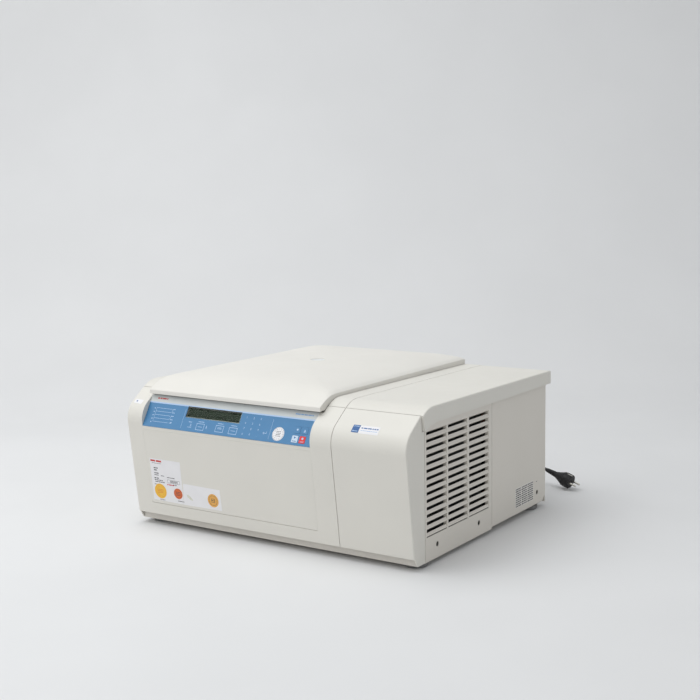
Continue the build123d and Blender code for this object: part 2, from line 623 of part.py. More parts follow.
RING_FOOT = 60.0
with BuildPart() as armour_ring:
    with Locations((AXIS_X, AXIS_Y, RING_FOOT)):
        Cylinder(RING_OUTER, BOWL_TOP - 4 - RING_FOOT, align=UP)
    with Locations((AXIS_X, AXIS_Y, PAN_FLOOR)):
        with PolarLocations((RING_INNER + RING_OUTER) / 2, 4, start_angle=45):
            Box(16, 60, RING_FOOT + 20 - PAN_FLOOR, align=UP)
    with Locations((AXIS_X, AXIS_Y, RING_FOOT)):
        Cylinder(RING_INNER, BOWL_TOP, align=UP, mode=Mode.SUBTRACT)
armour_ring.part.label = "armour_ring"
export_step(armour_ring.part.moved(ON_BENCH), "parts/armour_ring.step")

with BuildPart() as lid_seal:
    with BuildSketch(ROTOR_PLANE):
        with Locations((BOWL_R + 11, DECK_Z + 2.3)):
            RectangleRounded(12, 4.6, 1.8)
    revolve(axis=ROTOR_AXIS)
lid_seal.part.label = "lid_seal"
export_step(lid_seal.part.moved(ON_BENCH), "parts/lid_seal.step")

# ================= drive =================
MOUNT_Z = 42.0
DAMPER_SPACING = 130.0
with BuildPart() as rubber_dampers:
    with Locations((AXIS_X, AXIS_Y, PAN_FLOOR)):
        with GridLocations(DAMPER_SPACING, DAMPER_SPACING, 2, 2):
            Cylinder(11, MOUNT_Z - PAN_FLOOR, align=UP)
    with Locations((*POT_AT, PAN_FLOOR)):
        with PolarLocations(48, 3):
            Cylinder(11, MOUNT_Z - PAN_FLOOR, align=UP)
rubber_dampers.part.label = "rubber_dampers"
export_step(rubber_dampers.part.moved(ON_BENCH), "parts/rubber_dampers.step")

MOUNT_PLATE = 4.0
MOTOR_FOOT = MOUNT_Z + MOUNT_PLATE
MOTOR_TOP = 117.0
SHAFT_FOOT = MOTOR_FOOT + 12
with BuildPart() as motor_housing:
    with BuildSketch(Plane.XY.offset(MOUNT_Z)):
        with Locations((AXIS_X, AXIS_Y)):
            RectangleRounded(170, 170, 14)
            with GridLocations(DAMPER_SPACING, DAMPER_SPACING, 2, 2):
                Circle(4, mode=Mode.SUBTRACT)
    extrude(amount=MOUNT_PLATE)
    with Locations((AXIS_X, AXIS_Y, MOTOR_FOOT)):
        Cylinder(MOTOR_R, MOTOR_TOP - MOTOR_FOOT, align=UP)
        Cylinder(NECK_R, NECK_TOP - MOTOR_FOOT, align=UP)
    with Locations((AXIS_X, AXIS_Y, MOTOR_FOOT + 14)):
        with PolarLocations(MOTOR_R, 24):
            Box(5, 3, 48, align=UP)
    with Locations((AXIS_X, AXIS_Y, SHAFT_FOOT - 1)):
        Cylinder(SHAFT_R + RUN, 120, align=UP, mode=Mode.SUBTRACT)
motor_housing.part.label = "motor_housing"
export_step(motor_housing.part.moved(ON_BENCH), "parts/motor_housing.step")

HUB_FOOT, HUB_TOP, HUB_R = 205.0, 252.0, 30.0
ARM_LOW, ARM_HIGH = 225.0, 245.0
SHAFT_TOP = HUB_TOP + 8
with BuildPart() as rotor_shaft:
    with Locations((AXIS_X, AXIS_Y, SHAFT_FOOT)):
        Cylinder(SHAFT_R, SHAFT_TOP - SHAFT_FOOT, align=UP)
    with Locations((AXIS_X, AXIS_Y, HUB_FOOT - 12)):
        Cone(12, 16, 12, align=UP)
rotor_shaft.part.label = "rotor_shaft"
export_step(rotor_shaft.part.moved(ON_BENCH), "parts/rotor_shaft.step")

ARM_OUTLINE = [(24, 18), (80, 46), (98, 46), (98, 58), (58, 98), (46, 98), (46, 80), (18, 24)]
PIN_TIP = BUCKET_R + 0.6
with BuildPart() as rotor_cross:
    with Locations((AXIS_X, AXIS_Y, HUB_FOOT)):
        Cylinder(HUB_R, HUB_TOP - HUB_FOOT, align=UP)
    with BuildSketch(Plane.XY.offset(ARM_LOW)):
        with Locations((AXIS_X, AXIS_Y)):
            with PolarLocations(0, 4):
                Polygon(*ARM_OUTLINE, align=None)
    extrude(amount=ARM_HIGH - ARM_LOW)
    with Locations((AXIS_X, AXIS_Y, PIVOT_Z)):
        with PolarLocations(PIVOT_R, 4):
            with Locations((0, (PIN_TIP + 48) / 2, 0), (0, -(PIN_TIP + 48) / 2, 0)):
                Cylinder(TRUNNION_R, 48 - PIN_TIP, rotation=(90, 0, 0))
    with Locations((AXIS_X, AXIS_Y, HUB_FOOT - 1)):
        Cylinder(SHAFT_R, 80, align=UP, mode=Mode.SUBTRACT)
rotor_cross.part.label = "rotor_cross"
export_step(rotor_cross.part.moved(ON_BENCH), "parts/rotor_cross.step")

with BuildPart() as rotor_nut:
    with BuildSketch(Plane.XY.offset(HUB_TOP)):
        with Locations((AXIS_X, AXIS_Y)):
            Circle(15)
            with PolarLocations(16, 12):
                Circle(2, mode=Mode.SUBTRACT)
    extrude(amount=14)
    with Locations((AXIS_X, AXIS_Y, HUB_TOP - 1)):
        Cylinder(SHAFT_R, SHAFT_TOP - HUB_TOP + 1, align=UP, mode=Mode.SUBTRACT)
rotor_nut.part.label = "rotor_nut"
export_step(rotor_nut.part.moved(ON_BENCH), "parts/rotor_nut.step")

LUG_OUTER = 44.0
for number in range(4):
    angle = number * 90
    centre = (
        AXIS_X + PIVOT_R * math.cos(math.radians(angle)),
        AXIS_Y + PIVOT_R * math.sin(math.radians(angle)),
        PIVOT_Z,
    )
    with BuildPart(Plane(origin=centre, x_dir=Vector(1, 0, 0).rotate(Axis.Z, angle))) as bucket:
        with Locations((0, 0, -BUCKET_DROP)):
            Cylinder(BUCKET_R, BUCKET_DROP + BUCKET_RISE, align=UP)
        with Locations((0, (LUG_OUTER + 30) / 2, 0), (0, -(LUG_OUTER + 30) / 2, 0)):
            Cylinder(9, LUG_OUTER - 30, rotation=(90, 0, 0))
        with Locations((0, 0, BUCKET_WALL - BUCKET_DROP)):
            Cylinder(BUCKET_R - BUCKET_WALL, BUCKET_DROP + BUCKET_RISE, align=UP, mode=Mode.SUBTRACT)
        with Locations((0, BUCKET_R + 0.2 + 10, 0), (0, -BUCKET_R - 0.2 - 10, 0)):
            Cylinder(TRUNNION_R + TRUNNION_RUN, 20, rotation=(90, 0, 0), mode=Mode.SUBTRACT)
    bucket.part.label = f"bucket_{number + 1}"
    export_step(bucket.part.moved(ON_BENCH), f"parts/bucket_{number + 1}.step")

# ================= refrigeration =================
POT_FOOT, POT_TOP = MOUNT_Z, 186.0
BOSSES = ((290.0, 165.0), (255.0, 215.0))
with BuildPart() as compressor:
    with BuildSketch(Plane(origin=(*POT_AT, 0), x_dir=(1, 0, 0), z_dir=(0, -1, 0))):
        with BuildLine():
            Polyline(
                (0, POT_FOOT), (POT_R + 4, POT_FOOT), (POT_R + 4, POT_FOOT + 3), (POT_R - 8, POT_FOOT + 3)
            )
            Spline((POT_R - 8, POT_FOOT + 3), (POT_R, POT_FOOT + 20), (POT_R, 115))
            Polyline((POT_R, 115), (POT_R + 3, 115), (POT_R + 3, 121), (POT_R - 1, 121))
            Spline((POT_R - 1, 121), (POT_R - 3, 150), (POT_R - 22, 178), (0, POT_TOP))
            Line((0, POT_TOP), (0, POT_FOOT))
        make_face()
    revolve(axis=Axis((*POT_AT, 0), (0, 0, 1)))
    for boss_x, boss_y in BOSSES:
        with Locations((boss_x, boss_y, 150)):
            Cylinder(6, 48, align=UP)
compressor.part.label = "compressor"
export_step(compressor.part.moved(ON_BENCH), "parts/compressor.step")

CONDENSER_X, CONDENSER_Y, CONDENSER_Z = (322.0, 346.0), (-240.0, 20.0), (60.0, 288.0)
CONDENSER_MID = sum(CONDENSER_X) / 2
with BuildPart() as condenser:
    for end_y in (CONDENSER_Y[0], CONDENSER_Y[1] - 2):
        block(*CONDENSER_X, end_y, end_y + 2, PAN_FLOOR, CONDENSER_Z[1])
    for row in range(8):
        with Locations((CONDENSER_MID, sum(CONDENSER_Y) / 2, 80 + row * 27)):
            Cylinder(PIPE_R, CONDENSER_Y[1] - CONDENSER_Y[0] - 1, rotation=(90, 0, 0))
    fins = 34
    for fin in range(1, fins):
        fin_y = CONDENSER_Y[0] + fin * (CONDENSER_Y[1] - CONDENSER_Y[0]) / fins
        block(*CONDENSER_X, fin_y - 0.3, fin_y + 0.3, *CONDENSER_Z)
condenser.part.label = "condenser"
export_step(condenser.part.moved(ON_BENCH), "parts/condenser.step")

PIPE_PATHS = (
    [(290, 165, 198), (290, 165, 252), (330, 120, 262), (CONDENSER_MID, 70, 262), (CONDENSER_MID, 20, 262)],
    [(CONDENSER_MID, 20, 90), (CONDENSER_MID, 95, 90), (WALL_X - 20, 95, 90)],
    [(255, 215, 198), (255, 215, 235), (WALL_X - 20, 215, 235)],
)
with BuildPart() as refrigerant_pipes:
    for turn in range(6):
        with Locations((AXIS_X, AXIS_Y, 155 + turn * 27)):
            Torus(COIL_R, COIL_TUBE_R)
    for path_points in PIPE_PATHS:
        with BuildLine() as pipe_path:
            FilletPolyline(*path_points, radius=14)
        start = path_points[0]
        along = Vector(*path_points[1]) - Vector(*start)
        with BuildSketch(Plane(origin=start, z_dir=along.normalized())):
            Circle(PIPE_R)
        sweep(path=pipe_path.line)
refrigerant_pipes.part.label = "refrigerant_pipes"
export_step(refrigerant_pipes.part.moved(ON_BENCH), "parts/refrigerant_pipes.step")

SHROUD_X = FAN_AT[0] + 12
with BuildPart() as fan_shroud:
    block(SHROUD_X - 2, SHROUD_X, CONDENSER_Y[0], CONDENSER_Y[1], PAN_FLOOR, CONDENSER_Z[1])
    with Locations((SHROUD_X - 13, FAN_AT[1], FAN_AT[2])):
        Cylinder(FAN_R + 6, 24, rotation=(0, 90, 0))
        Cylinder(FAN_R + 4, 60, rotation=(0, 90, 0), mode=Mode.SUBTRACT)
fan_shroud.part.label = "fan_shroud"
export_step(fan_shroud.part.moved(ON_BENCH), "parts/fan_shroud.step")

FAN_SHAFT_R = 3.0
MOTOR_FRONT = FAN_AT[0] - 14
with BuildPart() as fan_motor:
    with Locations((MOTOR_FRONT - 14, FAN_AT[1], FAN_AT[2])):
        Cylinder(30, 28, rotation=(0, 90, 0))
    block(MOTOR_FRONT - 26, MOTOR_FRONT - 22, FAN_AT[1] - 20, FAN_AT[1] + 20, PAN_FLOOR, FAN_AT[2])
    block(MOTOR_FRONT - 26, MOTOR_FRONT, FAN_AT[1] - 20, FAN_AT[1] + 20, PAN_FLOOR, PAN_FLOOR + 3)
    with Locations((MOTOR_FRONT, FAN_AT[1], FAN_AT[2])):
        Cylinder(FAN_SHAFT_R + RUN, 44, rotation=(0, 90, 0), mode=Mode.SUBTRACT)
fan_motor.part.label = "fan_motor"
export_step(fan_motor.part.moved(ON_BENCH), "parts/fan_motor.step")

BLADES = 5
with BuildPart(Plane(origin=FAN_AT, x_dir=(0, 1, 0), z_dir=(1, 0, 0))) as fan_rotor:
    Cylinder(24, 16)
    with PolarLocations(51, BLADES):
        Box(62, 30, 2, rotation=(32, 0, 0))
    with Locations((0, 0, -18)):
        Cylinder(FAN_SHAFT_R, 32)
fan_rotor.part.label = "fan_rotor"
export_step(fan_rotor.part.moved(ON_BENCH), "parts/fan_rotor.step")

# ================= electrics =================
with BuildPart() as drive_inverter:
    block(-353, -291, 220, 236, PAN_FLOOR, 190)
    for fin in range(9):
        block(-351 + fin * 7, -349 + fin * 7, 236, 292, PAN_FLOOR, 190)
    block(-351, -293, 212, 220, PAN_FLOOR + 12, 180)
drive_inverter.part.label = "drive_inverter"
export_step(drive_inverter.part.moved(ON_BENCH), "parts/drive_inverter.step")

ROCKER_TILT = 12.0         # the rocker's outer face slopes this much each side of the middle
ROCKER_Y = REAR_Y - 4
with BuildPart() as mains_switch:
    with BuildSketch(Plane.XZ.offset(-(REAR_Y + 1.5))):
        with Locations(SWITCH_AT):
            Rectangle(SWITCH_WIDTH + 4, SWITCH_HEIGHT + 4)
            Rectangle(SWITCH_WIDTH - 3, SWITCH_HEIGHT - 3, mode=Mode.SUBTRACT)
    extrude(amount=1.5)
    with BuildSketch(Plane.XZ.offset(-REAR_Y)):
        with Locations(SWITCH_AT):
            Rectangle(SWITCH_WIDTH - 0.4, SWITCH_HEIGHT - 0.4)
            Rectangle(SWITCH_WIDTH - 3, SWITCH_HEIGHT - 3, mode=Mode.SUBTRACT)
    extrude(amount=22)
    with Locations((SWITCH_AT[0], REAR_Y - 22, SWITCH_AT[1])):
        Box(SWITCH_WIDTH - 0.4, 3, SWITCH_HEIGHT - 0.4)
    with Locations((SWITCH_AT[0], ROCKER_Y, SWITCH_AT[1])):
        Cylinder(1.5, SWITCH_WIDTH - 1, rotation=(0, 90, 0))
mains_switch.part.label = "mains_switch"
export_step(mains_switch.part.moved(ON_BENCH), "parts/mains_switch.step")

ROCKER_HALF = SWITCH_HEIGHT / 2 - 2.6
with BuildPart() as switch_rocker:
    with BuildSketch(yz(SWITCH_AT[0] - SWITCH_WIDTH / 2 + 2.0)) as rocker_section:
        with Locations((ROCKER_Y, SWITCH_AT[1])):
            with Locations(Location((0, 0), ROCKER_TILT / 2)):
                Polygon(
                    (-4, -ROCKER_HALF + 3), (4, -ROCKER_HALF), (5.6, 0), (4, ROCKER_HALF),
                    (-4, ROCKER_HALF - 3),
                    align=None,
                )
            Circle(1.5 + RUN, mode=Mode.SUBTRACT)
    extrude(amount=SWITCH_WIDTH - 4.0)
switch_rocker.part.label = "switch_rocker"
export_step(switch_rocker.part.moved(ON_BENCH), "parts/switch_rocker.step")

# ================= lid =================
WINDOW_R = 17.5
with BuildPart() as lid_shell:
    add(lid_body(0, 328.0))
    add(lid_body(LID_SHELL, 300.0), mode=Mode.SUBTRACT)
    with Locations((AXIS_X, AXIS_Y, 340)):
        Cylinder(WINDOW_R, 60, align=UP, mode=Mode.SUBTRACT)
lid_shell.part.label = "lid_shell"
export_step(lid_shell.part.moved(ON_BENCH), "parts/lid_shell.step")

LINER_TOP = LINER_Z + 2.5
with BuildPart() as lid_liner:
    with BuildSketch(Plane.XY.offset(LINER_Z)):
        with Locations(((LID_LEFT + LID_RIGHT) / 2, 20)):
            RectangleRounded(LID_RIGHT - LID_LEFT - 2 * LID_SHELL - 1, 540, 8)
        with Locations((AXIS_X, AXIS_Y)):
            Circle(WINDOW_R, mode=Mode.SUBTRACT)
    extrude(amount=LINER_TOP - LINER_Z)
lid_liner.part.label = "lid_liner"
export_step(lid_liner.part.moved(ON_BENCH), "parts/lid_liner.step")

with BuildPart() as lid_window:
    with Locations((AXIS_X, AXIS_Y, LINER_Z)):
        Cylinder(WINDOW_R - 0.1, 369.0 - LINER_Z, align=UP)
lid_window.part.label = "lid_window"
export_step(lid_window.part.moved(ON_BENCH), "parts/lid_window.step")

with BuildPart() as lid_hinge_arms:
    for arm_x in ARMS:
        with BuildSketch(yz(arm_x - ARM_WIDTH / 2)):
            with BuildLine():
                Polyline(
                    (200, LINER_TOP), (291, LINER_TOP), (HINGE_Y, HINGE_Z - KNUCKLE_R),
                    (HINGE_Y, HINGE_Z + KNUCKLE_R), (280, 342), (200, LINER_TOP + 4), close=True,
                )
            make_face()
            with Locations((HINGE_Y, HINGE_Z)):
                Circle(KNUCKLE_R)
                Circle(HINGE_PIN_R + RUN, mode=Mode.SUBTRACT)
        extrude(amount=ARM_WIDTH)
lid_hinge_arms.part.label = "lid_hinge_arms"
export_step(lid_hinge_arms.part.moved(ON_BENCH), "parts/lid_hinge_arms.step")

BRACKET_WIDTH, BRACKET_GAP = 8.0, 0.5
BRACKET_STARTS = (
    ARMS[0] + ARM_WIDTH / 2 + BRACKET_GAP,
    ARMS[1] - ARM_WIDTH / 2 - BRACKET_GAP - BRACKET_WIDTH,
)
with BuildPart() as hinge_brackets:
    for bracket_x in BRACKET_STARTS:
        with BuildSketch(yz(bracket_x)):
            with BuildLine():
                Polyline(
                    (297, 262), (302.8, 262), (302.8, 328.5), (306.5, 333.5), (HINGE_Y, HINGE_Z),
                    (306.5, 343.5), (297, 338), close=True,
                )
            make_face()
            with Locations((HINGE_Y, HINGE_Z)):
                Circle(KNUCKLE_R)
                Circle(HINGE_PIN_R, mode=Mode.SUBTRACT)
        extrude(amount=BRACKET_WIDTH)
hinge_brackets.part.label = "hinge_brackets"
export_step(hinge_brackets.part.moved(ON_BENCH), "parts/hinge_brackets.step")

PIN_LEFT, PIN_RIGHT = ARMS[0] - ARM_WIDTH / 2 - 6, ARMS[1] + ARM_WIDTH / 2 + 6
with BuildPart() as hinge_shaft:
    with Locations(((PIN_LEFT + PIN_RIGHT) / 2, HINGE_Y, HINGE_Z)):
        Cylinder(HINGE_PIN_R, PIN_RIGHT - PIN_LEFT, rotation=(0, 90, 0))
hinge_shaft.part.label = "hinge_shaft"
export_step(hinge_shaft.part.moved(ON_BENCH), "parts/hinge_shaft.step")

SPRING_WIRE, SPRING_R, SPRING_LENGTH, SPRING_PITCH = 0.8, 6.2, 27.0, 2.7
SPRING_STARTS = (BRACKET_STARTS[0] + BRACKET_WIDTH + 1.2, BRACKET_STARTS[1] - 1.2 - SPRING_LENGTH)
with BuildPart() as torsion_springs:
    for spring_x in SPRING_STARTS:
        with BuildLine() as coil:
            Helix(
                pitch=SPRING_PITCH, height=SPRING_LENGTH, radius=SPRING_R,
                center=(spring_x, HINGE_Y, HINGE_Z), direction=(1, 0, 0),
            )
        with BuildSketch(Plane(origin=coil.line @ 0, z_dir=coil.line % 0)):
            Circle(SPRING_WIRE)
        sweep(path=coil.line, is_frenet=True)
torsion_springs.part.label = "torsion_springs"
export_step(torsion_springs.part.moved(ON_BENCH), "parts/torsion_springs.step")

# ================= lid lock =================
HOOKS = (-231.0, 49.0)
HOOK_Y, HOOK_LOW = -240.0, 297.0
BOLT_R, BOLT_Z = 4.0, 308.0
BOLT_LENGTH, BOLT_CLEAR = 30.0, 4.0
with BuildPart() as lid_hooks:
    for hook_x in HOOKS:
        with BuildSketch(yz(hook_x - 2)):
            with Locations((HOOK_Y - 0.5, (HOOK_LOW + LINER_Z) / 2)):
                Rectangle(16, LINER_Z - HOOK_LOW)
            with Locations((HOOK_Y + 4, BOLT_Z)):
                Rectangle(17.8, 2 * BOLT_R + 2.4, mode=Mode.SUBTRACT)
        extrude(amount=4)
lid_hooks.part.label = "lid_hooks"
export_step(lid_hooks.part.moved(ON_BENCH), "parts/lid_hooks.step")

with BuildPart() as lock_blocks:
    for hook_x, side in zip(HOOKS, (-1, 1)):
        near, far = hook_x + side * 8, hook_x + side * 50
        block(min(near, far), max(near, far), HOOK_Y - 12, HOOK_Y + 12, BOLT_Z - 12, DECK_Z - WALL)
        with Locations(((near + far) / 2, HOOK_Y, BOLT_Z)):
            Cylinder(BOLT_R + RUN, 60, rotation=(0, 90, 0), mode=Mode.SUBTRACT)
lock_blocks.part.label = "lock_blocks"
export_step(lock_blocks.part.moved(ON_BENCH), "parts/lock_blocks.step")

for hook_x, side, bolt_name in ((HOOKS[0], -1, "lock_bolt_left"), (HOOKS[1], 1, "lock_bolt_right")):
    with BuildPart() as lock_bolt:
        with Locations((hook_x + side * (BOLT_CLEAR + BOLT_LENGTH / 2), HOOK_Y, BOLT_Z)):
            Cylinder(BOLT_R, BOLT_LENGTH, rotation=(0, 90, 0))
        chamfer(lock_bolt.edges().filter_by(GeomType.CIRCLE).sort_by(Axis.X)[-1 if side < 0 else 0], 1)
    lock_bolt.part.label = bolt_name
    export_step(lock_bolt.part.moved(ON_BENCH), f"parts/{bolt_name}.step")

# ================= mains lead =================
with BuildPart() as cord_gland:
    with BuildSketch(Plane(origin=GLAND_AT, x_dir=(1, 0, 0), z_dir=(0, 1, 0))):
        Circle(12)
    extrude(amount=5)
    with BuildSketch(Plane(origin=(GLAND_AT[0], REAR_Y + 5, GLAND_AT[2]), x_dir=(1, 0, 0), z_dir=(0, 1, 0))):
        Circle(9)
    extrude(amount=GLAND_LENGTH - 5, taper=7)
    with BuildSketch(Plane(origin=GLAND_AT, x_dir=(1, 0, 0), z_dir=(0, -1, 0))):
        Circle(7.8)
    extrude(amount=SHEET + 4)
cord_gland.part.label = "cord_gland"
export_step(cord_gland.part.moved(ON_BENCH), "parts/cord_gland.step")

GLAND_MOUTH = (GLAND_AT[0], REAR_Y + GLAND_LENGTH, GLAND_AT[2] - BENCH_Z)
PLUG_TAIL = PLUG_FACE - PLUG_DIR * PLUG_LENGTH
LEAD_ROUTE = [
    GLAND_MOUTH, (230, 368, 46), (234, 392, 41), (228, 416, 29), (210, 431, 15), (184, 434, 7),
    (156, 423, 4), (133, 397, 4), (100, 367, 4), (COIL_AT[0], COIL_AT[1] - COIL_RINGS[1], 4),
]
TAIL_ROUTE = [
    (COIL_AT[0], COIL_AT[1] + COIL_RINGS[1], 12), (95, 477, 11), (128, 481, 8), (159, 485, 12),
    (187, 487, 24), (212, 486, 38), (236, 483, 48), tuple(PLUG_TAIL - PLUG_DIR * 30), tuple(PLUG_TAIL),
]


def lead_tube(points):
    """A round tube along straight runs joined by the largest tangent arcs that fit."""
    corners = [Vector(*p) for p in points]
    radii = []
    for before, here, after in zip(corners, corners[1:], corners[2:]):
        turn = (here - before).get_angle(after - here)
        shorter = min((here - before).length, (after - here).length)
        radii.append(0.45 * shorter / math.tan(math.radians(turn / 2)))
    print("radii", [round(r) for r in radii])
    with BuildPart() as tube:
        with BuildLine() as path:
            FilletPolyline(*points, radius=radii)
        with BuildSketch(Plane(origin=points[0], z_dir=(corners[1] - corners[0]).normalized())):
            Circle(CORD_R)
        sweep(path=path.line)
    length = path.wire().length
    print("length", round(length), "volume ratio", tube.part.volume / (math.pi * CORD_R**2 * length))
    return tube.part


with BuildPart() as mains_cord:
    add(lead_tube(LEAD_ROUTE))
    add(lead_tube(TAIL_ROUTE))
mains_cord.part.label = "mains_cord"
export_step(mains_cord.part, "parts/mains_cord.step")

COIL_HEIGHT = 4 * CORD_R + 0.5
with BuildPart() as mains_cord_coil:
    with Locations((*COIL_AT, 0)):
        Cylinder(COIL_RINGS[1] + CORD_R, COIL_HEIGHT, align=UP)
        Cylinder(COIL_RINGS[0] - CORD_R, COIL_HEIGHT, align=UP, mode=Mode.SUBTRACT)
mains_cord_coil.part.label = "mains_cord_coil"
export_step(mains_cord_coil.part, "parts/mains_cord_coil.step")

PLUG_R = 18.1
PLUG_PLANE = Plane(origin=PLUG_FACE, x_dir=PLUG_DIR.cross(Vector(0, 0, 1)).normalized(), z_dir=-PLUG_DIR)
PIN_R, PIN_LENGTH, PIN_SPACING = 2.4, 19.0, 19.0
with BuildPart() as mains_plug:
    with BuildSketch(PLUG_PLANE):
        Circle(PLUG_R)
    extrude(amount=22)
    with BuildSketch(PLUG_PLANE.offset(22)):
        Circle(PLUG_R - 2)
    with BuildSketch(PLUG_PLANE.offset(44)):
        Circle(8)
    loft()
    with BuildSketch(PLUG_PLANE.offset(44)):
        Circle(7.5)
    with BuildSketch(PLUG_PLANE.offset(PLUG_LENGTH)):
        Circle(5)
    loft()
    with BuildSketch(PLUG_PLANE):
        with Locations((0, PLUG_R), (0, -PLUG_R)):
            Rectangle(9, 5, mode=Mode.ADD)
    extrude(amount=16, mode=Mode.SUBTRACT)
mains_plug.part.label = "mains_plug"
export_step(mains_plug.part, "parts/mains_plug.step")

with BuildPart() as plug_pins:
    with BuildSketch(PLUG_PLANE):
        with Locations((PIN_SPACING / 2, 0), (-PIN_SPACING / 2, 0)):
            Circle(PIN_R)
    extrude(amount=-PIN_LENGTH)
    with BuildSketch(PLUG_PLANE.offset(1)):
        with Locations((0, PLUG_R - 2), (0, -PLUG_R + 2)):
            Rectangle(5, 1)
    extrude(amount=14)
plug_pins.part.label = "plug_pins"
export_step(plug_pins.part, "parts/plug_pins.step")
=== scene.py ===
import json
import math
import bmesh
import bpy
from mathutils import Matrix, Vector, noise


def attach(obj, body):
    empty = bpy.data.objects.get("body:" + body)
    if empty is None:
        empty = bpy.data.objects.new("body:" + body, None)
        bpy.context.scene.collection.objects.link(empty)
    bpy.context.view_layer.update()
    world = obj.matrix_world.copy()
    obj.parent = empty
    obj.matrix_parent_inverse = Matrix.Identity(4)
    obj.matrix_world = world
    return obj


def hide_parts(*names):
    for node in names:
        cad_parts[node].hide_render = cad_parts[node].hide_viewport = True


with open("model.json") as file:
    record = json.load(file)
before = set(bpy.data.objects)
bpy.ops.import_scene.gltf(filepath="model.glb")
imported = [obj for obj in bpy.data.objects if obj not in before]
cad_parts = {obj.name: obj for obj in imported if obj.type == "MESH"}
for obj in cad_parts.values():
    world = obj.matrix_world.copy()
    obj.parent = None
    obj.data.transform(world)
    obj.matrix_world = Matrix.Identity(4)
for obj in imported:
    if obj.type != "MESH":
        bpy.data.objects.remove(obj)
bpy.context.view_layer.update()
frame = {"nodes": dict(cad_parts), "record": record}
NODES = frame["nodes"]
SCENE = bpy.context.scene
MM = 0.001

# ---------------------------------------------------------------- camera
CAMERA_AT = Vector((1.5779, -2.3183, 0.7731))
YAW, PITCH, ROLL = math.radians(33.89), math.radians(7.87), math.radians(-0.91)
SENSOR_WIDTH, LENS = 36.0, 63.68       # millimetres
forward = Vector((-math.sin(YAW) * math.cos(PITCH), math.cos(YAW) * math.cos(PITCH), -math.sin(PITCH)))
level = Vector((math.cos(YAW), math.sin(YAW), 0))
upright = level.cross(forward)
right = level * math.cos(ROLL) + upright * math.sin(ROLL)
up = upright * math.cos(ROLL) - level * math.sin(ROLL)
camera_data = bpy.data.cameras.new("camera")
camera_data.sensor_width = SENSOR_WIDTH
camera_data.lens = LENS
camera = bpy.data.objects.new("camera", camera_data)
camera.matrix_world = Matrix.Translation(CAMERA_AT) @ Matrix((right, up, -forward)).transposed().to_4x4()
SCENE.collection.objects.link(camera)
SCENE.camera = camera


# ---------------------------------------------------------------- materials
def linear(rgb):
    """An 8-bit sRGB colour as linear values with alpha."""
    return tuple((c / 255 / 12.92) if c <= 10 else ((c / 255 + 0.055) / 1.055) ** 2.4 for c in rgb) + (1.0,)


def tint(colour, factor):
    """The colour made lighter or darker by a factor."""
    return tuple(min(1.0, c * factor) for c in colour[:3]) + (1.0,)


